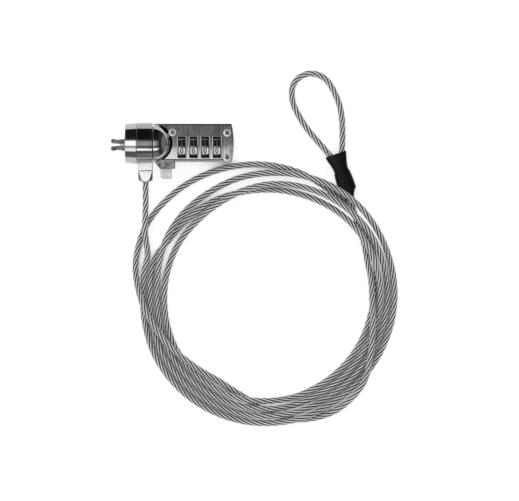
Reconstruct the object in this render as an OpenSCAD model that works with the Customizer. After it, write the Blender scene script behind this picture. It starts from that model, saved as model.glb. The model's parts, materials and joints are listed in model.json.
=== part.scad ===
// Laptop cable lock: a four-dial lock head with expanding jaws, on a swivel ring
// that carries a coiled steel cable with a crimped loop at its far end.
// The origin is the centre of the nose collar's front face, on the barrel's axis.
// +X runs from the nose to the dial case, +Y to the rear edge and +Z up through the dials.

/* [Barrel] */
// Outer radius of the swivel ring, which is also the height of the axis over the table
ring_r = 10.85; // [10.4:0.05:13]
// Radius of the journal that the ring turns on
journal_r = 8.6; // [7.8:0.05:9.2]
// Front of the swivel ring, measured from the nose face
ring_front = 6.2; // [5.8:0.05:7]
// Length of the swivel ring
ring_len = 8.3; // [6.8:0.05:11]
// Radius of the nose collar at its face
collar_r = 10.4; // [9.6:0.05:12]
// Running clearance of a turning joint, on the radius
run_gap = 0.05; // [0.02:0.01:0.09]

/* [Jaws] */
// How far the jaws stand out of the nose
jaw_reach = 7.8; // [6.5:0.1:9]
// Thickness of a jaw, which fits a 3 mm wide slot
jaw_t = 2.6; // [2.2:0.1:2.8]
// Width over both jaws where they leave the collar
jaw_root_w = 6.4; // [6.2:0.1:6.6]
// Distance of each pivot pin from the jaws' centre line
pivot_off = 1.75; // [1.7:0.05:1.85]
// Radius of a jaw's pivot pin
pivot_r = 0.7; // [0.5:0.05:0.75]

/* [Dial case] */
// Distance from the last dial's middle to the middle of the case's bowed end
end_len = 8.8; // [8.2:0.1:17]
// Rear edge of the case
case_rear = 10.2; // [9.6:0.1:12]
// Front edge of the case, along the dials
case_front = 9.9; // [9.8:0.05:12]
// Height of the case's top, where the cover lies
case_top = 3.5; // [3.2:0.05:3.8]
// Radius of the case's two lower long edges
case_edge_r = 4; // [2:0.1:4.5]
// Radius of the domed shoulder behind the ring
dome_r = 10.65; // [9.9:0.05:10.8]

/* [Cover] */
// Thickness of the cover plate
cover_t = 1.5; // [1.3:0.05:2]
// Length of a dial window along the dials' axis
window_w = 4.2; // [4.1:0.05:4.5]
// Length of a dial window across the axis
window_l = 11.1; // [10.4:0.1:11.3]
// Height of the rim round a window
rim_h = 0.3; // [0.1:0.05:0.6]
// Radius of a cover screw's head
screw_head_r = 2.1; // [1.6:0.05:2.1]
// Radius of a cover screw's shank
screw_r = 1.0; // [0.7:0.05:1.1]

/* [Dials] */
// Corner radius of a ten-sided dial
dial_r = 6.6; // [6.3:0.05:6.75]
// Width of a dial
dial_w = 3.7; // [3.3:0.05:3.9]
// Distance from one dial to the next
dial_pitch = 6.17; // [6.1:0.01:8]
// Distance from the back of the barrel's journal to the first dial's middle
dial_gap = 15.3; // [15.2:0.1:18]
// Distance of the dials' axis in front of the barrel's axis
dial_off = 2.1; // [1.9:0.05:2.2]
// Outer radius of a code sleeve
sleeve_r = 4.4; // [4.1:0.05:4.5]
// Radius of the code spindle's core
spindle_r = 1.6; // [1.3:0.05:1.7]

/* [Button] */
// Width of the button along the lock
button_w = 5.9; // [5:0.1:6.2]
// Thickness of the button
button_t = 4; // [3:0.1:4.4]
// How far the button stands out of its boss
button_out = 5.3; // [4.5:0.1:7]
// Travel of the button, and of the jaw spreader that it draws back
stroke = 3; // [2.6:0.1:3]

/* [Cable] */
// Diameter of the cable over its clear coat
cable_d = 3.3; // [3:0.1:3.3]
// Length of the swivel lug that holds the cable
socket_len = 9.9; // [8:0.1:12]
// Width of the lug along the barrel
socket_w = 7.6; // [6:0.1:8]

/* [Hidden] */
$fn = 64;
eps = 0.01;

// Barrel
collar_len = ring_front - 0.1;
disc_t = 4.2;
spigot_r = journal_r - 1;
seat_gap = 0.05;
journal_end = ring_front + ring_len + 0.1;
ring_flat = ring_r - 0.55;
// The jaws, spreader and rod share a centre line a little in front of the barrel's axis
jaw_y = -0.8;
slot_w = jaw_root_w + 0.4;
slot_h = jaw_t + 0.4;
pivot_x = 2.6;
pin_len = 8;
eye_r = jaw_root_w / 2 - pivot_off;
jaw_inner = 0.7;
// Angle that a jaw turns to close, and how far that moves a point of it at x
close_a = 4.4;
function closing(x) = (pivot_x - x) * sin(close_a);
shut_gap = 0.04;
rod_r = 1.4;
rod_bore_r = 2.6;
rod_collar_r = 2.4;
rod_collar_x = 7;
rod_collar_w = 0.8;
blade_t = 1.6;
blade_tip = -3;
blade_back = 4.6;
spring_wall = journal_end + 1;
wall_t = 0.9;

// Dials
axis_y = -dial_off;
pocket_r = dial_r + 0.35;
pocket_w = dial_w + 0.6;
sleeve_len = dial_pitch - 0.37;
sleeve_in = sleeve_r - 0.8;
saddle_r = sleeve_r + 0.1;
flange_in = spindle_r + 0.3;
flange_w = 1;
fin_w = 1.2;
fin_r = sleeve_in - 0.3;
fin_l = 1;
fin_back = stroke / 2 + 0.5;
digits = 10;
groove_r = 0.35;
function dial_x(k) = journal_end + dial_gap + k * dial_pitch;
case_end = dial_x(3) + end_len;
channel_0 = dial_x(0) - sleeve_len / 2 - 0.1;
channel_1 = dial_x(3) + sleeve_len / 2 + 0.1;

// Cam and button
cam_x = journal_end + 2.1;
cam_end = cam_x + 6.9;
cam_rear = 1.2;
cam_front = -8;
cam_h = 4.4;
cam_gap = 0.4;
cavity_0 = spring_wall + wall_t;
cavity_1 = channel_0;
button_x = journal_end + 3.9;
boss_y = -13.4;
boss_0 = journal_end + 1.6;
boss_1 = boss_0 + 10;
boss_h = 7.2;
flange_t = 1;
flange_out = 0.6;
flange_y = boss_y + 1.2;
button_y = boss_y - button_out;
button_nose = -5.5;
// The button's wedge and the cam meet on the line x + y = wedge_sum
wedge_sum = journal_end;
wedge_gap = 0.15;

// Cover
cover_z = case_top + cover_t;
cover_inset = 0.3;
// Groove that the plate leaves round the dome
cover_gap = 0.6;
cover_edge = 1.3;
case_back = journal_end + 0.35;
end_bow_r = 48.4;
screw_spots = [[journal_end + 10.3, 5.5], [case_end - 3.5, 5.3], [case_end - 3.5, -7.6]];
screw_depth = 6;
strip_y = axis_y + pocket_r + 0.1;
strip_t = 0.3;

// Cable
cable_r = cable_d / 2;
table_z = -ring_r;
floor_z = table_z + cable_r;
socket_x = ring_front + ring_len / 2 + 0.25;
socket_t = 5.6;
socket_y = -ring_flat;
socket_end = socket_y - socket_len;

// ---------- swept tubes ----------
function unit(v) = v / norm(v);
function tangent(p, i) = unit(p[min(i + 1, len(p) - 1)] - p[max(i - 1, 0)]);
// A ring of points square to the path, with one corner pair kept level
function ring_at(c, t, r, n) =
  let (s = unit(cross([0, 0, 1], t)), u = cross(t, s))
  [for (j = [0:n - 1]) c + r * (cos(360 * j / n) * s + sin(360 * j / n) * u)];

// A closed tube of n sides along the points p, as triangles
module tube_along(p, r, n) {
  m = len(p);
  pts = [for (i = [0:m - 1]) each ring_at(p[i], tangent(p, i), r, n)];
  sides = [for (i = [0:m - 2]) for (j = [0:n - 1])
    let (a = i * n + j, b = i * n + (j + 1) % n)
    each [[a, a + n, b], [b, a + n, b + n]]];
  caps = [for (j = [1:n - 2]) each
    [[0, j, j + 1], [(m - 1) * n, (m - 1) * n + j + 1, (m - 1) * n + j]]];
  polyhedron(points = pts, faces = concat(sides, caps), convexity = 10);
}

// ---------- route of the cable ----------
// The coil winds anticlockwise, seen from above, about this centre
coil_c = [75.25, -79.25];
rings_per_turn = 24;
// Stations of the coil: [degrees turned, radius, height over the lowest layer]
stations = [
  // first turn
  [150, 75.2, 4.6], [165, 66.5, 1.5], [180, 66.5, 0], [195, 67.4, 0], [210, 68.6, 0],
  [240, 69.4, 0], [255, 69.4, 0], [270, 69, 2], [285, 68.5, 4.6], [300, 67.6, 1.2],
  [315, 67.5, 0], [345, 67.5, 0], [360, 67.4, 0], [375, 67.2, 0], [390, 67, 3.4],
  [405, 66.8, 7], [420, 66, 5.5], [435, 64.8, 4.4], [450, 63.8, 0.6], [465, 63, 0],
  // second turn
  [480, 62, 0], [495, 61.8, 1.3], [510, 61.2, 4], [525, 59.7, 3.6], [540, 58.8, 0],
  [555, 59.7, 0], [570, 61, 0], [600, 61.7, 0], [615, 61.7, 2.6], [630, 61.4, 4.2],
  [645, 61, 0.5], [660, 60, 0], [675, 59.9, 0], [705, 59.8, 0], [720, 59.8, 3.3],
  [735, 59, 5.8], [750, 58.2, 8.2], [765, 57.2, 5.2], [780, 56, 1], [795, 55.2, 0],
  [810, 55, 0], [825, 55.5, 0], [840, 56.8, 0], [855, 58, 0],
  // third turn
  [870, 59.5, 0], [885, 62.7, 0], [900, 62.7, 0], [915, 63.6, 0], [930, 64.8, 0],
  [960, 65.6, 0], [975, 65.6, 0.6], [990, 65.2, 4], [1005, 64.7, 3.6], [1020, 63.9, 0],
  [1035, 63.7, 0], [1065, 63.7, 0], [1080, 63.6, 0], [1095, 63.2, 3], [1110, 62.7, 7],
  [1125, 61.5, 8.1], [1140, 60.2, 5.5], [1155, 59, 4], [1170, 57.7, 4], [1185, 55.8, 4],
  [1200, 54.2, 3.4], [1215, 53.7, 0],
  // fourth turn
  [1230, 54.2, 0], [1260, 55, 0], [1275, 55.9, 0], [1290, 57.1, 0], [1305, 57.6, 0],
  [1320, 57.9, 0.8], [1335, 57.7, 4.2], [1350, 57.2, 2.9], [1365, 56.9, 0], [1380, 56.2, 0],
  [1410, 55.8, 0], [1425, 55.8, 0], [1440, 56.7, 0], [1455, 59.2, 0], [1470, 60.8, 0],
  [1485, 62, 0], [1500, 63.8, 0], [1515, 66.2, 0], [1530, 68.2, 0], [1545, 69.8, 0],
  [1560, 71.5, 0], [1575, 73, 0],
  // last part turn, to the straight leg
  [1590, 74, 0], [1605, 72.5, 0], [1620, 68.2, 4], [1635, 63.2, 4], [1650, 58.7, 4],
  [1665, 55, 3.5], [1680, 53.5, 0], [1695, 56, 0], [1710, 63.2, 0], [1725, 69.5, 0],
  [1740, 72, 0.5], [1755, 70, 4], [1770, 63, 4], [1785, 57.7, 4], [1800, 55.2, 3.6],
  [1815, 55.2, 3.5], [1830, 58, 3.9]];
coil_start = stations[0][0];
coil_end = stations[len(stations) - 1][0];

// Smooth curve through column c of the stations, which never overshoots a station
function slope(i, c) = (stations[i + 1][c] - stations[i][c]) / (stations[i + 1][0] - stations[i][0]);
function knot_slope(i, c) =
  i == 0 ? slope(0, c) :
  i == len(stations) - 1 ? slope(i - 1, c) :
  let (a = slope(i - 1, c), b = slope(i, c)) a * b <= 0 ? 0 : 2 * a * b / (a + b);
function span_of(t, i = 0) =
  i >= len(stations) - 2 || t < stations[i + 1][0] ? i : span_of(t, i + 1);
function eased(t, i, c) =
  let (h = stations[i + 1][0] - stations[i][0], u = (t - stations[i][0]) / h,
       a = stations[i][c], b = stations[i + 1][c])
  (2 * u ^ 3 - 3 * u ^ 2 + 1) * a + (u ^ 3 - 2 * u ^ 2 + u) * h * knot_slope(i, c)
  + (3 * u ^ 2 - 2 * u ^ 3) * b + (u ^ 3 - u ^ 2) * h * knot_slope(i + 1, c);
function coil_point(t) =
  let (i = span_of(t), r = eased(t, i, 1))
  [coil_c[0] + r * cos(t), coil_c[1] + r * sin(t), floor_z + eased(t, i, 2)];

coil_rings = [for (t = [coil_start:360 / rings_per_turn:coil_end - 1]) coil_point(t)];
turn_last = coil_point(coil_end);

// The ferrule's own frame: s runs up its axis from ferrule_o, n across it to the left
ferrule_o = [117.4, -23.4];
ferrule_a = 109;
ferrule_z = floor_z + 2;
function at_ferrule(s, n, z = 0) =
  [ferrule_o[0] + s * cos(ferrule_a) - n * sin(ferrule_a),
   ferrule_o[1] + s * sin(ferrule_a) + n * cos(ferrule_a), ferrule_z + z];
ferrule_s0 = 0;
ferrule_len = 12.5;
ferrule_s1 = ferrule_s0 + ferrule_len;
leg_n = 1.8;
tail_n = 0.7;
ferrule_in = at_ferrule(ferrule_s0, tail_n);
// Straight leg from the last turn, over the buried turn, down into the ferrule
leg = [for (u = [0.2, 0.4, 0.56])
  [turn_last[0] + u * (ferrule_in[0] - turn_last[0]),
   turn_last[1] + u * (ferrule_in[1] - turn_last[1]), turn_last[2]]];
coil_path = concat(coil_rings, [turn_last], leg,
  [at_ferrule(ferrule_s0 - 6.6, tail_n, 0.2), at_ferrule(ferrule_s0 - cable_d, tail_n), ferrule_in]);

// Lead from the lug down to the table
lead_in = unit(coil_path[0] - coil_path[1]);
lead_path = concat(
  [[socket_x, socket_end, 0], [socket_x, socket_end - cable_d, 0], [10.6, -27, -0.6],
   [10.6, -31, -2], [10.4, -35, -3.7]],
  [coil_path[0] + lead_in * cable_d, coil_path[0]]);

// Loop: out of the ferrule on the left leg, round and back on the right leg
eye_path = concat(
  [at_ferrule(ferrule_s1, leg_n), at_ferrule(ferrule_s1 + cable_d, leg_n)],
  [for (q = [[108.1, -6, -0.2], [104.6, -1.9, -0.8], [101.2, 2, -1.5], [96.8, 7.3, -2],
             [93.1, 12.6, -2], [90.2, 17.9, -2], [88.5, 22.2, -2], [88, 26.4, -2],
             [88.4, 30.6, -2], [90.3, 33.9, -2], [93.3, 36.2, -2], [97.3, 37.5, -2],
             [101.2, 37.1, -2], [104.4, 35.7, -2], [107.1, 33.3, -2], [110.1, 28.5, -2],
             [112.5, 23.2, -2], [114, 17.9, -2], [114.7, 12.6, -2], [114.9, 7.3, -2],
             [114.9, 2, -1.5], [114.7, -2, -0.8], [114.4, -5.4, -0.2]])
    [q[0], q[1], ferrule_z + q[2]]],
  [at_ferrule(ferrule_s1 + cable_d, -leg_n), at_ferrule(ferrule_s1, -leg_n)]);

// Least distance of the coil's centre line from itself, less one diameter
function seg_gap(p, q) = norm(p - q) - cable_d;
fine = [for (t = [coil_start:2.5:coil_end]) coil_point(t)];
self_gap = min([for (i = [0:len(fine) - 1]) for (j = [i + 16:1:len(fine) - 1])
  if (abs(fine[i][0] - fine[j][0]) < 9 && abs(fine[i][1] - fine[j][1]) < 9)
  seg_gap(fine[i], fine[j])]);
function path_len(p) = len(p) < 2 ? 0 : [for (i = 1, s = norm(p[1] - p[0]); i < len(p);
  i = i + 1, s = s + (i < len(p) ? norm(p[i] - p[i - 1]) : 0)) s][len(p) - 2];
echo(least_gap_of_coil_to_itself = self_gap);
echo(cable_length = path_len(lead_path) + path_len(coil_path) + ferrule_len * 2 + path_len(eye_path));

// ---------- shared shapes ----------
// Cylinder along +X from x0 to x1, about the line y, z
module x_cyl(r, x0, x1, y = 0, z = 0, sides = 96) {
  translate([x0, y, z]) rotate([0, 90, 0]) cylinder(r = r, h = x1 - x0, $fn = sides);
}

// Revolve of an outline in [x, radius] pairs about the barrel's axis
module turned(outline) {
  rotate([0, 90, 0]) rotate_extrude($fn = 128) polygon([for (q = outline) [q[1], q[0]]]);
}

// Box from one corner to the other
module block(a, b) {
  translate(a) cube(b - a);
}

// Rectangle with round corners, as squares and discs
module round_rect(a, b, r) {
  translate([a[0] + r, a[1]]) square([b[0] - a[0] - 2 * r, b[1] - a[1]]);
  translate([a[0], a[1] + r]) square([b[0] - a[0], b[1] - a[1] - 2 * r]);
  for (x = [a[0] + r, b[0] - r]) for (y = [a[1] + r, b[1] - r]) translate([x, y]) circle(r);
}

// Profile in the Y-Z plane, carried along X
module along_x(x0, x1) {
  translate([x0, 0, 0]) rotate([90, 0, 90]) linear_extrude(x1 - x0) children();
}

// ---------- barrel ----------
module swivel_ring() {
  c = 0.2;
  x1 = ring_front + ring_len;
  color("gainsboro") difference() {
    turned([[ring_front, journal_r + run_gap], [ring_front, ring_r - c],
            [ring_front + c, ring_r], [x1 - c, ring_r], [x1, ring_r - c],
            [x1, journal_r + run_gap]]);
    block([socket_x - socket_w / 2 - 0.2, -ring_r - 1, -socket_t / 2 - 0.2],
          [socket_x + socket_w / 2 + 0.2, -ring_flat, socket_t / 2 + 0.2]);
  }
}

module cable_socket() {
  w = socket_w / 2;
  h = socket_t / 2;
  corner = 1.6;
  // A bevel's length, and its width and depth at the end; its plane stands square to bevel_n
  bevel_l = socket_len - 4.2;
  bevel_w = 2;
  bevel_d = 1.6;
  bevel_n = [bevel_l * bevel_d, -bevel_w * bevel_d, bevel_w * bevel_l];
  color("gainsboro") translate([socket_x, socket_y, 0]) difference() {
    translate([0, 0, -h]) linear_extrude(socket_t) union() {
      translate([-w, -socket_len + corner]) square([2 * w, socket_len - corner]);
      translate([-w + corner, -socket_len]) square([2 * (w - corner), socket_len]);
      for (s = [-1, 1]) translate([s * (w - corner), -socket_len + corner]) circle(corner);
    }
    // Bevels that start part way down and narrow the flat faces towards the cable
    for (s = [0, 1]) for (z = [0, 1]) mirror([s, 0, 0]) mirror([0, 0, z])
      translate([w, bevel_l - socket_len, h])
        rotate([0, atan2(norm([bevel_n[0], bevel_n[1]]), bevel_n[2]), atan2(bevel_n[1], bevel_n[0])])
          translate([-10, -10, 0]) cube(20);
  }
}

// ---------- case ----------
module case_outline(grow) {
  // Long straight sides and a bowed end, as seen from above
  intersection() {
    translate([case_back - 1, -case_front - 5])
      square([case_end - case_back + 2, case_front + case_rear + 10]);
    translate([case_end - end_bow_r, 0.15]) circle(end_bow_r + grow, $fn = 360);
  }
}

module case_body() {
  intersection() {
    along_x(case_back, case_end + 1) union() {
      round_rect([-case_front, table_z], [case_rear, case_top], case_edge_r);
      translate([-case_front, case_top - 6]) square([case_front + case_rear, 6]);
    }
    translate([0, 0, table_z - 1]) linear_extrude(case_top - table_z + 2) case_outline(0);
  }
}

module dome(grow = 0) {
  // Part of a ball, turned about the barrel's axis
  rotate([0, 90, 0]) rotate_extrude($fn = 128) intersection() {
    translate([0, journal_end]) circle(dome_r + grow, $fn = 128);
    translate([0, case_back - 4 * grow]) square(2 * dome_r);
  }
}

module button_boss() {
  h = boss_h / 2;
  translate([0, 0, -h]) linear_extrude(boss_h) polygon([
    [boss_0 + 1.6, boss_y], [boss_1, boss_y], [boss_1, -case_front + 1],
    [boss_0, -case_front + 1], [boss_0, -case_front - 0.8]]);
}

module dial_channel() {
  // Pockets for the dials and one long saddle for the code sleeves, open to the cover
  for (k = [0:3]) {
    x_cyl(pocket_r, dial_x(k) - pocket_w / 2, dial_x(k) + pocket_w / 2, axis_y);
    block([dial_x(k) - pocket_w / 2, axis_y - pocket_r, 0],
          [dial_x(k) + pocket_w / 2, axis_y + pocket_r, case_top + 1]);
  }
  x_cyl(saddle_r, channel_0, channel_1, axis_y);
  block([channel_0, axis_y - saddle_r, 0], [channel_1, axis_y + saddle_r, case_top + 1]);
  // Slot for the detent spring
  block([dial_x(0) - 3.2, strip_y - 0.15, -2.2], [dial_x(3) + 3.2, strip_y + strip_t + 0.1, case_top + 1]);
}

module lock_housing() {
  color("silver") difference() {
    union() {
      x_cyl(journal_r, collar_len, case_back, 0, 0, 128);
      x_cyl(spigot_r, disc_t, collar_len + eps, 0, 0, 128);
      dome();
      case_body();
      button_boss();
    }
    // Bore for the spreader's rod and its spring, with a wall that the rod passes
    x_cyl(rod_bore_r, disc_t - 1, spring_wall, jaw_y);
    x_cyl(rod_r + run_gap, spring_wall - 1, cavity_0 + 1, jaw_y);
    // Cavity of the cam and pocket of the button
    block([cavity_0, cam_front - 0.6, -cam_h / 2 - cam_gap],
          [cavity_1 + eps, cam_rear + 0.4, cam_h / 2 + cam_gap]);
    block([button_x - flange_out - 0.1, flange_y - 0.1, -button_t / 2 - 0.1],
          [button_x + button_w + flange_out + 0.1, cam_front, button_t / 2 + 0.1]);
    block([button_x - 0.1, boss_y - 1, -button_t / 2 - 0.1],
          [button_x + button_w + 0.1, flange_y, button_t / 2 + 0.1]);
    dial_channel();
    // Far bearing of the code spindle
    x_cyl(spindle_r + run_gap, channel_1 - 1, channel_1 + 4.1, axis_y);
    for (q = screw_spots) translate([q[0], q[1], case_top - screw_depth - 0.3])
      cylinder(r = screw_r + seat_gap, h = screw_depth + 5);
  }
}

// ---------- cover ----------
module cover_plate() {
  y0 = -case_front + cover_edge;
  y1 = case_rear - cover_inset;
  ch = 0.5;
  color("darkgray") difference() {
    union() {
      intersection() {
        along_x(case_back, case_end + 1) polygon([
          [y0, case_top], [y1, case_top], [y1, cover_z - ch], [y1 - ch, cover_z],
          [y0 + ch, cover_z], [y0, cover_z - ch]]);
        translate([0, 0, case_top - 1]) linear_extrude(cover_t + 2) case_outline(-cover_inset);
      }
      for (k = [0:3]) translate([dial_x(k), axis_y + 0.15, cover_z - eps])
        linear_extrude(rim_h + eps) square([window_w + 1, window_l + 1], center = true);
    }
    // Round cut-out that follows the dome
    dome(cover_gap);
    for (k = [0:3]) {
      translate([dial_x(k), axis_y + 0.15, cover_z])
        cube([window_w, window_l, 3 * cover_t], center = true);
      x_cyl(pocket_r, dial_x(k) - window_w / 2, dial_x(k) + window_w / 2, axis_y);
    }
    // The plate's underside closes the top of the sleeves' saddle
    x_cyl(saddle_r, channel_0, channel_1, axis_y);
    for (q = screw_spots) translate([q[0], q[1], case_top - 1])
      cylinder(r = screw_r + seat_gap, h = cover_t + 3);
  }
}

module cover_screws() {
  head_h = 0.9;
  slot = 0.5;
  color("gainsboro") for (q = screw_spots) translate([q[0], q[1], 0]) difference() {
    union() {
      translate([0, 0, cover_z]) rotate_extrude()
        polygon([[0, 0], [screw_head_r, 0], [screw_head_r, 0.35],
                 [screw_head_r - 0.25, 0.65], [screw_head_r - 0.8, head_h], [0, head_h]]);
      translate([0, 0, case_top - screw_depth]) cylinder(r = screw_r, h = screw_depth + cover_t + eps);
    }
    for (a = [20, 110]) rotate([0, 0, a]) translate([0, 0, cover_z + head_h])
      cube([2 * screw_head_r - 1.4, slot, 1.1], center = true);
  }
}

// ---------- nose ----------
module nose_collar() {
  // Tapers from its face up to the ring behind it
  c = 0.35;
  edge = 0.2;
  color("gainsboro") difference() {
    turned([[0, 0], [0, collar_r - c], [c, collar_r], [collar_len - edge, ring_r],
            [collar_len, ring_r - edge], [collar_len, spigot_r + seat_gap],
            [disc_t, spigot_r + seat_gap], [disc_t, 0]]);
    block([-1, jaw_y - slot_w / 2, -slot_h / 2], [disc_t + 1, jaw_y + slot_w / 2, slot_h / 2]);
    for (s = [-1, 1]) translate([pivot_x, jaw_y + s * pivot_off, -pin_len / 2 - 0.05])
      cylinder(r = pivot_r + 0.02, h = pin_len + 0.1);
  }
}

// One jaw on the +Y side of the centre line, in the jaws' own plane: an eye on the pin,
// a bar that narrows from its root and a round knob that hooks behind the slot's edge
module jaw_outline() {
  root = jaw_root_w / 2;
  neck = root - 0.6;
  knob_r = 1.15;
  knob_x = knob_r - jaw_reach;
  knob_y = closing(knob_x) + shut_gap + knob_r;
  // From the blade's tip to the face the jaws lie along the blade, and behind that clear of it
  bar_inner = closing(blade_tip - 0.1) + shut_gap;
  difference() {
    union() {
      translate([pivot_x, pivot_off]) circle(eye_r);
      polygon([[pivot_x, jaw_inner], [pivot_x, root], [0, root], [knob_x + 1.6, neck],
               [knob_x, knob_y + 0.6], [knob_x, knob_y - knob_r],
               [blade_tip - 0.1, bar_inner], [-0.4, bar_inner], [-0.2, jaw_inner]]);
      translate([knob_x, knob_y]) circle(knob_r);
    }
    translate([pivot_x, pivot_off]) circle(pivot_r + run_gap);
    translate([pivot_x - 2.7, -1]) square([6, jaw_inner + 1]);
  }
}

module jaw() {
  translate([0, 0, -jaw_t / 2]) linear_extrude(jaw_t) jaw_outline();
}

module upper_jaw() {
  color("gray") translate([0, jaw_y, 0]) jaw();
}

module lower_jaw() {
  color("gray") translate([0, jaw_y, 0]) mirror([0, 1, 0]) jaw();
}

module jaw_pins() {
  color("dimgray") for (s = [-1, 1])
    translate([pivot_x, jaw_y + s * pivot_off, -pin_len / 2]) cylinder(r = pivot_r, h = pin_len);
}

// ---------- plunger ----------
module jaw_spreader() {
  edge = 0.2;
  thick = 0.42;
  color("dimgray") translate([0, jaw_y, 0]) {
    translate([0, 0, -blade_t / 2]) linear_extrude(blade_t) polygon([
      [blade_tip, -edge], [blade_tip + 2.5, -thick], [blade_back, -thick], [blade_back, thick],
      [blade_tip + 2.5, thick], [blade_tip, edge]]);
    x_cyl(rod_r, blade_back - eps, cam_x);
    x_cyl(rod_collar_r, rod_collar_x, rod_collar_x + rod_collar_w);
  }
}

module plunger_spring() {
  curls = 6;
  wire_r = 0.25;
  mean_r = 1.95;
  per_curl = 8;
  x0 = rod_collar_x + rod_collar_w + wire_r + 0.05;
  x1 = spring_wall - wire_r - 0.05;
  n = curls * per_curl;
  color("lightgray") tube_along([for (i = [0:n])
    [x0 + (x1 - x0) * i / n, jaw_y + mean_r * cos(360 * i / per_curl),
     mean_r * sin(360 * i / per_curl)]], wire_r, 6);
}

module cam_block() {
  s = wedge_sum + wedge_gap;
  color("goldenrod") translate([0, 0, -cam_h / 2]) linear_extrude(cam_h) polygon([
    [cam_x, cam_rear], [cam_end, cam_rear], [cam_end, cam_front],
    [s - cam_front, cam_front], [cam_x, s - cam_x]]);
}

module code_spindle() {
  end = channel_1 + 0.8;
  color("goldenrod") {
    x_cyl(spindle_r, cam_end, end, axis_y);
    for (k = [0:3])
      block([dial_x(k) - fin_back, axis_y - fin_w / 2, 0],
            [dial_x(k) - fin_back + fin_l, axis_y + fin_w / 2, fin_r]);
  }
}

module release_button() {
  x1 = button_x + button_w;
  corner = 1.5;
  color("darkgray") translate([0, 0, -button_t / 2]) linear_extrude(button_t) union() {
    polygon([[button_x, button_y + corner], [button_x + corner, button_y + corner],
             [button_x + corner, button_y], [x1 - 0.5, button_y], [x1, button_y + 0.5],
             [x1, wedge_sum - x1], [wedge_sum - button_nose, button_nose],
             [button_x, button_nose]]);
    translate([button_x + corner, button_y + corner]) circle(corner);
    translate([button_x - flange_out, flange_y])
      square([button_w + 2 * flange_out, flange_t]);
  }
}

// ---------- dials ----------
module code_sleeve(k) {
  x0 = dial_x(k) - sleeve_len / 2;
  color("goldenrod") union() {
    difference() {
      x_cyl(sleeve_r, x0, x0 + sleeve_len, axis_y);
      x_cyl(sleeve_in, x0 - 1, x0 + sleeve_len + 1, axis_y);
    }
    // Gate flange: the spindle's fin passes only through its notch
    difference() {
      x_cyl(sleeve_in + 0.1, dial_x(k) - flange_w / 2, dial_x(k) + flange_w / 2, axis_y);
      x_cyl(flange_in, x0 - 1, x0 + sleeve_len + 1, axis_y);
      block([x0, axis_y - fin_w / 2 - 0.2, 0], [x0 + sleeve_len, axis_y + fin_w / 2 + 0.2, sleeve_in]);
    }
    // Key that locks the sleeve to one of the dial's ten grooves
    block([dial_x(k) - dial_w / 2, axis_y - 0.35, -sleeve_r - 0.2],
          [dial_x(k) + dial_w / 2, axis_y + 0.35, -sleeve_r + 0.3]);
  }
}

module dial(k) {
  x0 = dial_x(k) - dial_w / 2;
  bore = sleeve_r + seat_gap;
  color("lightgray") difference() {
    translate([x0, axis_y, 0]) rotate([0, 90, 0]) cylinder(r = dial_r, h = dial_w, $fn = 10);
    x_cyl(bore, x0 - 1, x0 + dial_w + 1, axis_y);
    translate([x0, axis_y, 0]) for (d = [0:digits - 1]) rotate([d * 360 / digits, 0, 0]) {
      translate([-1, -0.4, -bore - 0.2]) cube([dial_w + 2, 0.8, 1]);
      translate([-1, 0, dial_r]) rotate([0, 90, 0]) cylinder(r = groove_r, h = dial_w + 2, $fn = 24);
    }
  }
}

module detent_spring() {
  x0 = dial_x(0) - 3.1;
  x1 = dial_x(3) + 3.1;
  color("lightgray") difference() {
    union() {
      block([x0, strip_y, -2.1], [x1, strip_y + strip_t, 2.2]);
      for (k = [0:3]) translate([dial_x(k), strip_y + 0.3, 0]) rotate([0, 90, 0])
        cylinder(r = 0.5, h = 1.6, center = true, $fn = 24);
    }
    block([x0 - 1, strip_y + strip_t, -3], [x1 + 1, strip_y + 2, 3]);
    // Slits that part the strip into one finger for each dial
    for (k = [0:2]) block([dial_x(k) + dial_pitch / 2 - 0.3, strip_y - 1, -3],
                          [dial_x(k) + dial_pitch / 2 + 0.3, strip_y + 1, 1.2]);
  }
}

// ---------- cable ----------
module cable_lead() {
  color("silver") tube_along(lead_path, cable_r, 8);
}

module cable_coil() {
  color("silver") tube_along(coil_path, cable_r, 6);
}

module cable_eye() {
  color("silver") tube_along(eye_path, cable_r, 8);
}

module crimp_ferrule() {
  r = 2.2;
  off = 1.3;
  color("lightgray") translate([ferrule_o[0], ferrule_o[1], ferrule_z])
    rotate([0, 0, ferrule_a]) rotate([0, 90, 0]) translate([0, 0, ferrule_s0])
      linear_extrude(ferrule_len) union() {
        square([2 * r, 2 * off], center = true);
        for (s = [-1, 1]) translate([0, s * off]) circle(r);
      }
}

// Oval section of the sleeve at station q = [s, half width, half height, offset across]
function oval(q, t, n) = [for (j = [0:n - 1])
  let (a = 360 * j / n, c = cos(a), d = sin(a))
  at_ferrule(q[0], q[3] + (q[1] - t) * sign(c) * abs(c) ^ 0.7, (q[2] - t) * sign(d) * abs(d) ^ 0.8)];

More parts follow.
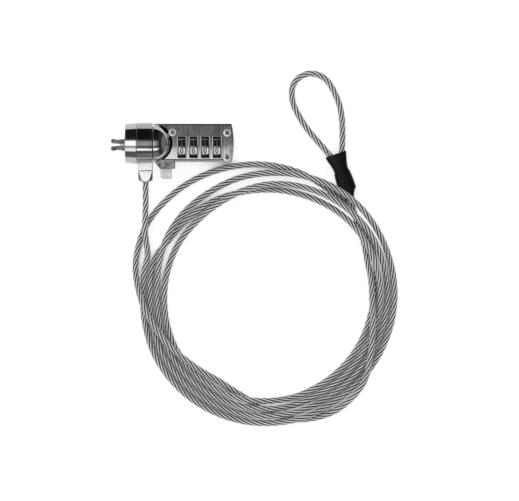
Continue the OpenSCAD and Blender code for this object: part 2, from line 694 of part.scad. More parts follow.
module loop_sleeve() {
  wall = 0.4;
  n = 20;
  rows = [[-6.4, 2.5, 2.4, 0.6], [-4.2, 2.9, 2.7, 0.4], [-2.2, 3.7, 3, 0.1], [-0.6, 4.75, 3.4, 0],
          [2.7, 4.75, 3.5, 0], [8, 4.35, 3.3, 0], [10.2, 3.95, 3.1, 0], [13.5, 4.5, 2.9, 0],
          [17, 5.5, 2.85, 0], [19, 5.9, 2.8, 0]];
  m = len(rows);
  outer = [for (q = rows) each oval(q, 0, n)];
  inner = [for (q = rows) each oval(q, wall, n)];
  o = m * n;
  skin = [for (i = [0:m - 2]) for (j = [0:n - 1])
    let (a = i * n + j, b = i * n + (j + 1) % n)
    each [[a, a + n, b], [b, a + n, b + n], [o + a, o + b, o + a + n], [o + b, o + b + n, o + a + n]]];
  e = (m - 1) * n;
  ends = [for (j = [0:n - 1]) let (k = (j + 1) % n)
    each [[j, k, o + j], [k, o + k, o + j], [e + j, o + e + j, e + k], [e + k, o + e + j, o + e + k]]];
  color("black") polyhedron(points = concat(outer, inner), faces = concat(skin, ends), convexity = 6);
}

swivel_ring();
cable_socket();
lock_housing();
cover_plate();
cover_screws();
nose_collar();
upper_jaw();
lower_jaw();
jaw_pins();
jaw_spreader();
plunger_spring();
cam_block();
release_button();
code_spindle();
code_sleeve(0);  // code_sleeve_1
code_sleeve(1);  // code_sleeve_2
code_sleeve(2);  // code_sleeve_3
code_sleeve(3);  // code_sleeve_4
dial(0);  // dial_1
dial(1);  // dial_2
dial(2);  // dial_3
dial(3);  // dial_4
detent_spring();
cable_lead();
cable_coil();
cable_eye();
crimp_ferrule();
loop_sleeve();
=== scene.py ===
# %% [markdown]
# # A laptop cable lock, made in Blender
#
# This file builds the looks of a cable lock for a laptop: a chromed lock head with
# four number dials, a swivel ring, and two metres of twisted steel cable that lie in
# a loose coil and end in a crimped loop. The solid parts, their sizes and their
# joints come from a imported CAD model, and this file gives each of them its surface,
# its edges and its finish. It is written as a lesson, one step in each cell.
# Blender's lengths are metres. The small pieces are worked out in millimetres, and
# `build` or a factor MM turns them into metres when they become a mesh.

# %% Load the fixed frame
import json
import math

import bmesh
import bpy
import numpy as np
from mathutils.geometry import delaunay_2d_cdt
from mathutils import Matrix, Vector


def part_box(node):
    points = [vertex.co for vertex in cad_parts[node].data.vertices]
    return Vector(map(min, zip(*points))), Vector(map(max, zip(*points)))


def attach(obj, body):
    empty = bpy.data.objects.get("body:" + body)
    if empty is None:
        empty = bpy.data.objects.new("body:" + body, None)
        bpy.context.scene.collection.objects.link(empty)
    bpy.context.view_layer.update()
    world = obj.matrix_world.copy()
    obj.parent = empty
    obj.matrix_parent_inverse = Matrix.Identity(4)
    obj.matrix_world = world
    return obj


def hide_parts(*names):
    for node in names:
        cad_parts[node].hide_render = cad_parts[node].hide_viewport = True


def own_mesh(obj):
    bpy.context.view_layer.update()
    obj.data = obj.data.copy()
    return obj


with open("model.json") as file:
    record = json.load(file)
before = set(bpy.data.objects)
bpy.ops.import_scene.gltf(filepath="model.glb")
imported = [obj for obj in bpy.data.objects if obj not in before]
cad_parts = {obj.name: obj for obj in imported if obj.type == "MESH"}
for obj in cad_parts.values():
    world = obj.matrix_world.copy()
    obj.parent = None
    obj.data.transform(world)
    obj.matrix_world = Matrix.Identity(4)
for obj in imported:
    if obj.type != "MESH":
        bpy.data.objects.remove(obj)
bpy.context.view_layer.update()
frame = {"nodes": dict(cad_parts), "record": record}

MM = 0.001

# %% [markdown]
# ## Small tools for making surfaces
#
# Most of the lock's pieces are surfaces that a formula describes: a profile turned
# about an axis, an outline carried along a line, or a section carried along a path.
# So one helper is enough for nearly all of them. It takes a grid of points and joins
# neighbours with four-sided faces. Building the arrays with numpy, and not point by
# point, is fast and keeps the formula visible.


# %% Grid of points to mesh
def mesh_piece(name, points, faces, smooth_angle=35, flat=0):
    """Mesh object from points in metres; the last faces, as many as flat says, are shaded flat."""
    data = bpy.data.meshes.new(name)
    data.from_pydata(np.asarray(points, float).reshape(-1, 3).tolist(), [], faces)
    data.polygons.foreach_set("use_smooth", np.arange(len(faces)) < len(faces) - flat)
    data.validate()
    if smooth_angle < 180:
        data.set_sharp_from_angle(angle=math.radians(smooth_angle))
    piece = bpy.data.objects.new(name, data)
    bpy.context.scene.collection.objects.link(piece)
    return piece


def grid_faces(rows, cols, wrap_rows=False, first=0):
    """Quads of a grid of closed rows, with point (i, j) at first + i * cols + j."""
    i = np.arange(rows if wrap_rows else rows - 1)[:, None]
    j = np.arange(cols)[None, :]
    i2, j2 = (i + 1) % rows, (j + 1) % cols
    quads = np.stack([i * cols + j, i * cols + j2, i2 * cols + j2, i2 * cols + j], -1)
    return (quads.reshape(-1, 4) + first).tolist()


def skin(name, grid, wrap_rows=False, cap_ends=False, smooth_angle=35):
    """Surface through closed rows, in metres; cap_ends closes the first and last with a flat face."""
    rows, cols = grid.shape[:2]
    faces = grid_faces(rows, cols, wrap_rows)
    if cap_ends:
        faces.append(list(range(cols))[::-1])
        faces.append([(rows - 1) * cols + j for j in range(cols)])
    return mesh_piece(name, grid, faces, smooth_angle, flat=2 if cap_ends else 0)


# %% [markdown]
# ## The camera
#
# The lock lies on a table and is seen from straight above. A long lens far away keeps
# the drawing nearly parallel, so that the top of the barrel, which stands 22 mm over
# the table, isn't drawn larger than the cable. The camera is made first, because the
# free cable is checked against what it sees.

# %% Camera over the table
VIEW_WIDTH = 0.275
LENS_MM = 200
SENSOR_MM = 36
LOOK_AT = (0.0708, -0.0566, -0.004)
camera_height = VIEW_WIDTH / SENSOR_MM * LENS_MM

camera_data = bpy.data.cameras.new("camera")
camera_data.lens = LENS_MM
camera_data.sensor_width = SENSOR_MM
camera_data.clip_start = 0.05
camera_data.clip_end = 20
camera = bpy.data.objects.new("camera", camera_data)
camera.location = (LOOK_AT[0], LOOK_AT[1], LOOK_AT[2] + camera_height)
bpy.context.scene.collection.objects.link(camera)
bpy.context.scene.camera = camera
print("camera height over the table, m:", round(camera_height, 3))

# %% [markdown]
# ## The cable's route
#
# The cable is one fixed length of springy steel rope, so its route is settled before
# its looks. It leaves the lug on the swivel ring, sinks to the table, winds four and a
# bit turns anticlockwise, and runs into the crimp of its own end loop. A freehand
# curve could be drawn, but piled turns must not cut each other, so each turn is given
# by stations in polar form: the angle turned, the radius and the height over the
# lowest layer. A cubic curve that never overshoots a station joins them.

# %% Stations of the coil
CABLE_D = 3.3 * MM
TABLE_Z = -10.85 * MM
LOW_LAYER = TABLE_Z + CABLE_D / 2
COIL_CENTRE = (75.25 * MM, -79.25 * MM)
STEP_DEGREES = 2.5


def rows_of(text):
    """Array from a text that has a comma between its rows."""
    return np.array([[float(x) for x in row.split()] for row in text.split(",")])


# Degrees turned, radius in mm, height over the lowest layer in mm
stations = rows_of("""
150 75.2 4.6, 165 66.5 1.5, 180 66.5 0, 195 67.4 0, 210 68.6 0, 240 69.4 0, 255 69.4 0,
270 69 2, 285 68.5 4.6, 300 67.6 1.2, 315 67.5 0, 345 67.5 0, 360 67.4 0, 375 67.2 0,
390 67 3.4, 405 66.8 7, 420 66 5.5, 435 64.8 4.4, 450 63.8 0.6, 465 63 0,
480 62 0, 495 61.8 1.3, 510 61.2 4, 525 59.7 3.6, 540 58.8 0, 555 59.7 0, 570 61 0,
600 61.7 0, 615 61.7 2.6, 630 61.4 4.2, 645 61 0.5, 660 60 0, 675 59.9 0, 705 59.8 0,
720 59.8 3.3, 735 59 5.8, 750 58.2 8.2, 765 57.2 5.2, 780 56 1, 795 55.2 0, 810 55 0,
825 55.5 0, 840 56.8 0, 855 58 0,
870 59.5 0, 885 62.7 0, 900 62.7 0, 915 63.6 0, 930 64.8 0, 960 65.6 0, 975 65.6 0.6,
990 65.2 4, 1005 64.7 3.6, 1020 63.9 0, 1035 63.7 0, 1065 63.7 0, 1080 63.6 0,
1095 63.2 3, 1110 62.7 7, 1125 61.5 8.1, 1140 60.2 5.5, 1155 59 4, 1170 57.7 4,
1185 55.8 4, 1200 54.2 3.4, 1215 53.7 0,
1230 54.2 0, 1260 55 0, 1275 55.9 0, 1290 57.1 0, 1305 57.6 0, 1320 57.9 0.8,
1335 57.7 4.2, 1350 57.2 2.9, 1365 56.9 0, 1380 56.2 0, 1410 55.8 0, 1425 55.8 0,
1440 56.7 0, 1455 59.2 0, 1470 60.8 0, 1485 62 0, 1500 63.8 0, 1515 66.2 0,
1530 68.2 0, 1545 69.8 0, 1560 71.5 0, 1575 73 0,
1590 74 0, 1605 72.5 0, 1620 68.2 4, 1635 63.2 4, 1650 58.7 4, 1665 55 3.5,
1680 53.5 0, 1695 56 0, 1710 63.2 0, 1725 69.5 0, 1740 72 0.5, 1755 70 4, 1770 63 4,
1785 57.7 4, 1800 55.2 3.6, 1815 55.2 3.5, 1830 58 3.9
""")


def steady_slopes(knots, values):
    """Slope at each knot: harmonic mean of the two chords' slopes, and 0 at a peak or trough."""
    chord = np.diff(values) / np.diff(knots)
    a, b = chord[:-1], chord[1:]
    inner = np.where(a * b > 0, 2 * a * b / np.where(a + b == 0, 1, a + b), 0)
    return np.concatenate([[chord[0]], inner, [chord[-1]]])


def through_knots(knots, values, at):
    """Cubic through the knots with those slopes; h00 a + h10 h m0 + h01 b + h11 h m1 per span."""
    slopes = steady_slopes(knots, values)
    i = np.clip(np.searchsorted(knots, at, side="right") - 1, 0, len(knots) - 2)
    h = knots[i + 1] - knots[i]
    u = (at - knots[i]) / h
    return ((2 * u**3 - 3 * u**2 + 1) * values[i] + (u**3 - 2 * u**2 + u) * h * slopes[i]
            + (3 * u**2 - 2 * u**3) * values[i + 1] + (u**3 - u**2) * h * slopes[i + 1])


turned = np.arange(stations[0, 0], stations[-1, 0] + 1, STEP_DEGREES)
coil_r, coil_h = (through_knots(stations[:, 0], stations[:, c], turned) * MM for c in (1, 2))
turned = np.radians(turned)
coil_line = np.stack([COIL_CENTRE[0] + coil_r * np.cos(turned), COIL_CENTRE[1] + coil_r * np.sin(turned),
                      LOW_LAYER + coil_h], -1)
print("coil points:", len(coil_line))

# %% [markdown]
# ## The ends of the cable
#
# At one end the cable comes straight out of the lug for a diameter before it bends
# down. At the other it goes through a crimped ferrule, round the end loop and back
# into the ferrule. Places on the crimp are easiest to give in the ferrule's own
# frame, which lies at 109 degrees on the table: s runs up its axis and n across it.

# %% Lead, leg and end loop
FERRULE_AT = np.array([117.4, -23.4]) * MM
FERRULE_TURN = math.radians(109)
FERRULE_Z = LOW_LAYER + 2 * MM
FERRULE_LEN = 12.5
EYE_LEG = 1.8
LONG_STEP = 0.92 * MM


def at_ferrule(s, n, z=0.0):
    """Point s mm up the ferrule's axis, n mm to its left and z mm over it."""
    c, d = math.cos(FERRULE_TURN), math.sin(FERRULE_TURN)
    s, n = s * MM, n * MM
    return np.array([FERRULE_AT[0] + s * c - n * d, FERRULE_AT[1] + s * d + n * c, FERRULE_Z + z * MM])


d_mm = CABLE_D / MM
lead_line = rows_of("10.6 -20.2 0, 10.6 -23.5 0, 10.6 -27 -0.6, 10.6 -31 -2, 10.4 -35 -3.7") * MM
crimp_in = at_ferrule(0, 0.7)
leg_line = [coil_line[-1] + u * (crimp_in - coil_line[-1]) * (1, 1, 0) for u in (0.2, 0.4, 0.56)]
leg_line += [at_ferrule(-6.6, 0.7, 0.2), at_ferrule(-d_mm, 0.7), crimp_in]
eye_line = rows_of("""
108.1 -6 -0.2, 104.6 -1.9 -0.8, 101.2 2 -1.5, 96.8 7.3 -2, 93.1 12.6 -2, 90.2 17.9 -2,
88.5 22.2 -2, 88 26.4 -2, 88.4 30.6 -2, 90.3 33.9 -2, 93.3 36.2 -2, 97.3 37.5 -2,
101.2 37.1 -2, 104.4 35.7 -2, 107.1 33.3 -2, 110.1 28.5 -2, 112.5 23.2 -2, 114 17.9 -2,
114.7 12.6 -2, 114.9 7.3 -2, 114.9 2 -1.5, 114.7 -2 -0.8, 114.4 -5.4 -0.2
""") * MM + (0, 0, FERRULE_Z)
past_crimp = FERRULE_LEN + d_mm
out_line = [at_ferrule(s, n) for s, n in ((6, 1.5), (FERRULE_LEN, EYE_LEG), (past_crimp, EYE_LEG))]
back_line = [at_ferrule(s, n) for s, n in
             ((past_crimp, -EYE_LEG), (FERRULE_LEN, -EYE_LEG), (6, -1.5), (0.4, -1.4))]
route = np.vstack([lead_line, coil_line, leg_line, out_line, eye_line, back_line])


def even_steps(points, step):
    """Cubic spline through the points by chord length, sampled at even steps of its own length."""
    t = np.concatenate([[0], np.cumsum(np.linalg.norm(np.diff(points, axis=0), axis=1))])
    h = np.diff(t)
    n = len(t)
    # Natural spline: second derivatives m solve a three-banded system
    system = np.eye(n)
    i = np.arange(1, n - 1)
    system[i, i - 1], system[i, i], system[i, i + 1] = h[:-1], 2 * (h[:-1] + h[1:]), h[1:]
    slope = np.diff(points, axis=0) / h[:, None]
    right = np.zeros((n, 3))
    right[1:-1] = 6 * (slope[1:] - slope[:-1])
    m = np.linalg.solve(system, right)
    # Four points to a step first, so that the length along the curve is known well
    at = np.linspace(0, t[-1], int(t[-1] / step) * 4)
    k = np.clip(np.searchsorted(t, at, side="right") - 1, 0, n - 2)
    a, b, hk = (t[k + 1] - at)[:, None], (at - t[k])[:, None], h[k][:, None]
    fine = (m[k] * a**3 + m[k + 1] * b**3) / (6 * hk) \
        + (points[k] / hk - m[k] * hk / 6) * a + (points[k + 1] / hk - m[k + 1] * hk / 6) * b
    run = np.concatenate([[0], np.cumsum(np.linalg.norm(np.diff(fine, axis=0), axis=1))])
    even = np.linspace(0, run[-1], int(run[-1] / step) + 1)
    return np.stack([np.interp(even, run, fine[:, c]) for c in range(3)], -1), run[-1]


cable_line, cable_length = even_steps(route, LONG_STEP)
print("cable length, m:", round(cable_length, 3), "rings:", len(cable_line))

# %% [markdown]
# ## Twisted steel rope
#
# Real rope of this kind has six strands laid round a core, each strand of many fine
# wires, and a clear vinyl coat that half fills the grooves. Modelling the strands as
# separate curves would need a dozen tubes that touch each other. A single tube with a
# lobed section that turns as it goes gives the same outside: the section's radius
# follows six circles, and the coat sets a floor in the grooves.

# %% Rope surface
STRANDS = 6
LAY = 26 * MM
PER_STRAND = 6
STRAND_OUT, STRAND_R, COAT_R = 1.08 * MM, 0.57 * MM, 1.3 * MM


def rope_radius(turn):
    """Radius at an angle: a cos d + sqrt(b^2 - a^2 sin^2 d) on the nearest strand, never under the coat."""
    d = (turn + math.pi / STRANDS) % (2 * math.pi / STRANDS) - math.pi / STRANDS
    inside = np.clip(STRAND_R**2 - (STRAND_OUT * np.sin(d)) ** 2, 0, None)
    return np.maximum(STRAND_OUT * np.cos(d) + np.sqrt(inside), COAT_R)


def level_frames(line):
    """At each point a level direction square to the line, and the one square to both."""
    along = np.gradient(line, axis=0)
    along /= np.linalg.norm(along, axis=1)[:, None]
    side = np.cross([0, 0, 1], along)
    side /= np.linalg.norm(side, axis=1)[:, None]
    return side, np.cross(along, side)


def twisted_rope(name, line, length):
    """Tube P(v, j) = C(v) + r(a_j) (cos(a_j + w v) S + sin(a_j + w v) U), with w = one turn per lay."""
    cols = STRANDS * PER_STRAND
    side, up = level_frames(line)
    run = np.linspace(0, length, len(line))
    own = np.arange(cols) * 2 * math.pi / cols
    turn = own[None, :] + 2 * math.pi * run[:, None] / LAY
    radius = rope_radius(own)[None, :, None]
    grid = line[:, None, :] + radius * (np.cos(turn)[..., None] * side[:, None, :]
                                        + np.sin(turn)[..., None] * up[:, None, :])
    rope = skin(name, grid, cap_ends=True, smooth_angle=180)
    # UV: u counts strands round the rope, v counts centimetres along it
    uv = rope.data.uv_layers.new(name="along")
    loops = np.empty(len(rope.data.loops), int)
    rope.data.loops.foreach_get("vertex_index", loops)
    row, col = loops // cols, loops % cols
    # A face's second and third corners are on its far column, which is not 0 at the seam
    order = np.arange(len(loops))
    far_side = (order < (len(line) - 1) * cols * 4) & (order % 4 > 0) & (order % 4 < 3)
    col = np.where(far_side & (col == 0), cols, col)
    flat = np.stack([col / PER_STRAND, run[row] / (10 * MM)], -1)
    uv.data.foreach_set("uv", flat.ravel())
    return rope


cable = twisted_rope("steel_cable", cable_line, cable_length)
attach(cable, "cable_anchor")
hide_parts("cable_lead", "cable_coil", "cable_eye")
print("rope triangles:", 2 * len(cable.data.polygons))

# %% [markdown]
# ## Materials
#
# Finishes are node trees that read the object's own coordinates, so they stay on the
# piece when it moves. Small helpers keep each tree short: every node is made, set and
# joined to what feeds it in one line.

# %% Material helpers
WHITE = (1, 1, 1, 1)


def feed(tree, value, socket):
    """Joins an output to a socket, or writes a plain value in it."""
    if isinstance(value, bpy.types.NodeSocket):
        tree.links.new(value, socket)
    else:
        socket.default_value = value


def settle(tree, node, *feeds, **values):
    """Feeds a node's sockets in order, and its settings and other sockets by name."""
    for key, value in values.items():
        if hasattr(node, key):
            setattr(node, key, value)
        else:
            feed(tree, value, node.inputs[key.replace("_", " ")])
    for socket, value in zip(node.inputs, feeds):
        feed(tree, value, socket)
    return node


def add(tree, kind, *feeds, **values):
    """New node of that kind, settled."""
    return settle(tree, tree.nodes.new("ShaderNode" + kind), *feeds, **values)


def math_of(tree, operation, *feeds):
    """Output of a math node."""
    return add(tree, "Math", *feeds, operation=operation).outputs[0]


def mixed(tree, share, one, other, blend="MIX"):
    """Mix of two colours, which a mix node has in sockets 6 and 7, with the result in 2."""
    made = add(tree, "Mix", share, data_type="RGBA", blend_type=blend)
    feed(tree, one, made.inputs[6])
    feed(tree, other, made.inputs[7])
    return made.outputs[2]


def ramp(tree, factor, stops):
    """Colour ramp from grey levels or colours: [(position, level), ...]."""
    made = add(tree, "ValToRGB", factor)
    band = made.color_ramp
    while len(band.elements) < len(stops):
        band.elements.new(1.0)
    for element, (place, level) in zip(band.elements, stops):
        element.position = place
        element.color = (*level, 1) if isinstance(level, tuple) else (level, level, level, 1)
    return made.outputs[0]


def own_noise(tree, scale, detail=3.0):
    """Noise over the object's own coordinates, with the scale in features to the metre."""
    place = add(tree, "TexCoord").outputs["Object"]
    return add(tree, "TexNoise", Vector=place, Scale=scale, Detail=detail).outputs[0]


def relief(tree, shader, height, strength, distance):
    """Fine relief that only the shading shows."""
    bump = add(tree, "Bump", Height=height, Strength=strength, Distance=distance)
    feed(tree, bump.outputs[0], shader.inputs["Normal"])


def new_finish(name, **values):
    """Material with its tree and its shader, which gets the values."""
    finish = bpy.data.materials.new(name)
    finish.use_nodes = True
    tree = finish.node_tree
    tree.nodes.clear()
    shader = add(tree, "BsdfPrincipled", **values)
    add(tree, "OutputMaterial", shader.outputs[0])
    return finish, tree, shader


def dress(piece, finish):
    """Puts the finish on a piece in place of whatever it had."""
    piece.data.materials.clear()
    piece.data.materials.append(finish)


def second_finish(piece, finish, chosen):
    """Gives the finish of that name to the faces that a mask or a slice chooses."""
    piece.data.materials.append(finishes[finish])
    index = np.zeros(len(piece.data.polygons), np.int32)
    index[chosen] = 1
    piece.data.polygons.foreach_set("material_index", index)


# %% [markdown]
# ## Finish of the cable
#
# This finish comes first, because the cable is already made.
#
# The rope is bright wire under clear vinyl: light strands, painted shade in the grooves between them, and
# fine wires that lean across each strand. An image texture could be wrapped round the tube, but it would blur
# close up. So the rope's own UV map, which counts strands and centimetres, feeds a ramp across each strand,
# which paints the grooves' shade, and a sine wave for the wires.

# %% Steel cable under a clear coat
WIRES_ACROSS, WIRE_LEAN = 6, 3.2


def steel_cable_finish():
    """Bright strands, painted shade in the grooves and fine wires that run across each strand."""
    finish, tree, shader = new_finish("cable_steel", Metallic=0.25, Roughness=0.3, Coat_Weight=0.3,
                                      Coat_Roughness=0.1)
    uv = add(tree, "UVMap", uv_map="along")
    across, along, _ = add(tree, "SeparateXYZ", uv.outputs[0]).outputs
    in_strand = math_of(tree, "FRACT", math_of(tree, "ADD", across, 0.5))
    # Painted shade: across each strand the tone falls almost to black in the grooves
    tone = ramp(tree, in_strand, [
        (0.0, 0.005), (0.17, 0.02), (0.31, 0.85), (0.5, 1.0), (0.69, 0.85), (0.83, 0.02), (1.0, 0.005)])
    # Fine wires: a wave across the strand that leans with the strand's own twist
    leaning = math_of(tree, "ADD", across, math_of(tree, "MULTIPLY", along, WIRE_LEAN))
    wave = math_of(tree, "SINE", math_of(tree, "MULTIPLY", leaning, WIRES_ACROSS * 2 * math.pi))
    wires = ramp(tree, wave, [(0.0, 0.58), (0.6, 1.0)])
    feed(tree, mixed(tree, 1, tone, wires, "MULTIPLY"), shader.inputs["Base Color"])
    relief(tree, shader, wave, 0.35, 0.08 * MM)
    return finish


dress(cable, steel_cable_finish())
print("cable finish nodes:", len(cable.data.materials[0].node_tree.nodes))

# %% [markdown]
# ## Metals and paints
#
# The lock's pieces are chromed, nickelled or oiled, and their insides are painted near black as shade. They
# differ mostly in how light and how glossy they are. A tree for each would say the same many times over, so
# one function makes them all from a tone and a roughness. A slow noise lets both drift a little, because a
# metal with an even tone looks like plastic.


# %% Tone and gloss that drift
def drifting_finish(name, tone, roughness, cloud=0.05, scale=140.0, grain=0.0, metallic=1.0,
                    drifting_gloss=True):
    """Tone t (1 +- cloud) by a noise, and roughness r (0.8 to 1.3) with it; a tone may be two colours."""
    finish, tree, shader = new_finish(name, Metallic=metallic, Roughness=roughness)
    low, high = tone if isinstance(tone, tuple) else (tone * (1 - cloud), min(1.0, tone * (1 + cloud)))
    drift = own_noise(tree, scale)
    settle(tree, shader, Base_Color=ramp(tree, drift, [(0.3, low), (0.7, high)]))
    if drifting_gloss:
        settle(tree, shader, Roughness=ramp(tree, drift, [(0.35, roughness * 0.8), (0.7, roughness * 1.3)]))
    if grain > 0:
        relief(tree, shader, own_noise(tree, 2600.0, detail=2.0), grain, 0.04 * MM)
    return finish


finishes = {name: drifting_finish(name, tone, roughness, **more) for name, tone, roughness, more in (
    ("bright_chrome", 0.45, 0.05, {}),
    ("ring_chrome", 0.36, 0.07, dict(cloud=0.2, scale=500.0)),
    ("dark_chrome", 0.2, 0.12, dict(cloud=0.3)),
    ("jaw_steel", 0.22, 0.12, dict(cloud=0.5, scale=500.0)),
    ("hard_steel", 0.45, 0.25, dict(cloud=0.1)),
    ("spring_steel", 0.6, 0.2, {}),
    ("dial_chrome", 0.34, 0.12, dict(cloud=0.25, scale=700.0)),
    ("oiled_steel", 0.06, 0.35, {}),
    ("rough_cast", 0.25, 0.35, dict(cloud=0.7, scale=450.0, grain=0.5)))}
even_gloss = (
    ("turned_brass", ((0.12, 0.09, 0.05), (0.2, 0.16, 0.09)), 0.25, dict(scale=300.0)),
    ("satin_nickel", 0.94, 0.28, dict(cloud=0.12, scale=500.0, metallic=0.12)),
    ("button_nickel", 0.62, 0.35, dict(cloud=0.25, scale=800.0, metallic=0.35)),
    ("screw_nickel", 0.85, 0.2, dict(scale=260.0, metallic=0.55)),
    # Painted shade: a near black for the insides, which stands for the shade in them
    ("bare_inside", 0.015, 0.6, dict(scale=260.0, metallic=0.0)),
    ("number_paint", 0.055, 0.6, dict(scale=260.0, metallic=0.0)))
finishes.update({name: drifting_finish(name, tone, roughness, drifting_gloss=False, **more)
                 for name, tone, roughness, more in even_gloss})

# %% [markdown]
# ## Brushed plate and black sleeve
#
# The cover is brushed across its length, and a painted reflection makes it lighter along its front edge; the
# sleeve is soft black plastic. Both need more than a drift. A noise that is squeezed along the plate draws
# the brush marks, a ramp from front to back paints the reflection, and relief that only the shading shows
# makes both surfaces uneven at no cost in faces.


# %% Two finishes of their own
def plate_finish():
    """Brushed satin chrome with a painted reflection that lightens it towards the front edge, and streaks
    across the plate.
    """
    finish, tree, shader = new_finish("satin_plate", Metallic=1.0, Roughness=0.27)
    place = add(tree, "TexCoord").outputs["Object"]
    y = add(tree, "SeparateXYZ", place).outputs["Y"]
    back = add(tree, "MapRange", Value=y, From_Min=-8.6 * MM, From_Max=10 * MM).outputs[0]
    brushed = add(tree, "Mapping", place, Scale=(900, 110, 60)).outputs[0]
    streaks = add(tree, "TexNoise", Vector=brushed, Scale=1.0, Detail=5.0).outputs[0]
    # Painted reflection: a ramp from back to front, stirred by a slow noise, makes the plate lighter at the
    # front
    drift_and_painted_reflection = math_of(tree, "MULTIPLY_ADD", own_noise(tree, 170.0), 0.35, back)
    tone = ramp(tree, drift_and_painted_reflection, [(0.2, 0.9), (0.42, 0.7), (0.56, 0.28), (0.8, 0.19), (1.0, 0.17)])
    dim = ramp(tree, streaks, [(0.32, 0.45), (0.5, 0.85), (0.68, 1.0)])
    feed(tree, mixed(tree, 1, tone, dim, "MULTIPLY"), shader.inputs["Base Color"])
    relief(tree, shader, streaks, 0.4, 0.04 * MM)
    return finish


def sleeve_finish():
    """Black shrunk plastic, half gloss, with a soft unevenness."""
    finish, tree, shader = new_finish("shrunk_sleeve", Specular_IOR_Level=0.15)
    drift = own_noise(tree, 350.0, detail=4.0)
    settle(tree, shader, Base_Color=ramp(tree, drift, [(0.3, 0.002), (0.75, 0.006)]),
           Roughness=ramp(tree, drift, [(0.3, 0.3), (0.7, 0.45)]))
    relief(tree, shader, drift, 0.25, 0.3 * MM)
    return finish


# %% Finishes of the CAD pieces by slot
finishes.update(satin_chrome=plate_finish(), black_sleeve=sleeve_finish(), brass=finishes["turned_brass"],
                ferrule_aluminium=finishes["spring_steel"])
for part in frame["record"]["subparts"]:
    if part["material_slot"] in finishes:
        dress(frame["nodes"][part["node"]], finishes[part["material_slot"]])
print("finishes:", len(bpy.data.materials))

# %% [markdown]
# ## Shapes that repeat
#
# Nearly every rigid piece of the lock is one of three things: a profile turned about
# the barrel's axis, a flat outline with a thickness, or a row of outlines that change
# from one to the next. All three end as a grid of points, so they share `skin`. Sharp
# corners would look like paper in the light, because real castings and stampings have
# a small radius everywhere, so outlines get true arcs and thick pieces get round rims.


# %% Outlines with round corners
def held(line, gap=0.12):
    """Adds a point close to both ends of each long side, so that flat sides are shaded flat."""
    ahead = np.roll(line, -1, 0) - line
    size = np.linalg.norm(ahead, axis=1)[:, None]
    near, far = line + ahead / size * gap, line + ahead * (1 - gap / size)
    long_side = size[:, 0] > 4 * gap
    return np.stack([line, near, far], 1)[np.stack([np.ones_like(long_side), long_side, long_side], 1)]


def arc_corners(points, radii, steps=5, hold=True):
    """Closed outline with an arc at each corner, cut back by r / tan(half the corner's angle)."""
    p = np.asarray(points, float)
    r = np.broadcast_to(np.asarray(radii, float), len(p))[:, None]
    u, v = np.roll(p, 1, 0) - p, np.roll(p, -1, 0) - p
    u /= np.linalg.norm(u, axis=1)[:, None]
    v /= np.linalg.norm(v, axis=1)[:, None]
    middle = u + v
    middle /= np.maximum(np.linalg.norm(middle, axis=1)[:, None], 1e-9)
    half = np.arccos(np.clip(np.sum(u * v, 1), -1, 1))[:, None] / 2
    centre = p + middle * r / np.sin(half)
    start = p + u * r / np.tan(half) - centre
    end = p + v * r / np.tan(half) - centre
    a = np.arctan2(start[:, 1], start[:, 0])
    turn = (np.arctan2(end[:, 1], end[:, 0]) - a + math.pi) % (2 * math.pi) - math.pi
    at = a[:, None] + turn[:, None] * np.linspace(0, 1, steps)[None, :]
    arcs = centre[:, None, :] + r[:, :, None] * np.stack([np.cos(at), np.sin(at)], -1)
    line = arcs.reshape(-1, 2)
    # A corner of radius 0 gives the same point several times
    line = line[np.linalg.norm(line - np.roll(line, 1, 0), axis=1) > 1e-6]
    return held(line) if hold else line


def rectangle(x0, x1, y0, y1, radius, steps=5, hold=True):
    """Anticlockwise rectangle with round corners."""
    return arc_corners([[x0, y0], [x1, y0], [x1, y1], [x0, y1]], radius, steps, hold)


def lying(line, z):
    """Outline of (x, y) pairs at height z."""
    return np.insert(line, 2, z, axis=1)


def standing(line, y):
    """Outline of (x, z) pairs at y."""
    return np.insert(line, 1, y, axis=1)


def inward(line):
    """Step at each point that moves both edges beside it inwards by one; the line runs anticlockwise."""
    ahead = np.roll(line, -1, 0) - line
    ahead /= np.linalg.norm(ahead, axis=1)[:, None]
    left = np.stack([-ahead[:, 1], ahead[:, 0]], -1)
    both = left + np.roll(left, 1, 0)
    return 2 * both / np.maximum(np.sum(both * both, 1), 0.5)[:, None]


def quarter(steps):
    """Shares (1 - sin a, 1 - cos a) of a round edge's radius, from its side, a = 0, to its flat."""
    a = np.linspace(0, math.pi / 2, steps)
    return np.stack([1 - np.sin(a), 1 - np.cos(a)], -1)


def round_rim(edge, steps=4):
    """Inset and depth along a round edge from its flat to its side, with a flat margin first."""
    depth, inset = edge * quarter(steps + 1)[::-1].T
    return np.concatenate([[1.4 * edge], inset]), np.concatenate([[0], depth])


# %% Circles, slabs and pieces
ROUND_STEPS = 160
round_a = np.arange(ROUND_STEPS) * 2 * math.pi / ROUND_STEPS


def circle_loop(x, r):
    """Loop of radius r in mm square to the barrel at x: (x, r cos a, r sin a)."""
    return np.stack([np.full(ROUND_STEPS, x), r * np.cos(round_a), r * np.sin(round_a)], -1)


def slab(outline, half, edge):
    """Outline in the X-Y plane from z = -half to half, with round rims of radius edge."""
    inset, depth = round_rim(edge)
    heights = np.concatenate([depth - half, half - depth[::-1]])
    return [lying(outline + e * inward(outline), z) for e, z in zip((*inset, *inset[::-1]), heights)]


def outward(piece):
    """Turns all faces of a closed piece outwards."""
    work = bmesh.new()
    work.from_mesh(piece.data)
    bmesh.ops.recalc_face_normals(work, faces=work.faces)
    if work.calc_volume(signed=True) < 0:
        bmesh.ops.reverse_faces(work, faces=work.faces)
    work.to_mesh(piece.data)
    work.free()


def fit_to(piece, body, slot, *nodes, finish=None):
    """Turns the piece's faces outwards, gives it its body and its finish, named or else by slot, and hides
    the CAD nodes that it stands for.
    """
    outward(piece)
    dress(piece, finishes[finish or slot])
    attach(piece, body)
    if nodes:
        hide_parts(*nodes)
    print(piece.name, "faces:", len(piece.data.polygons))
    return piece


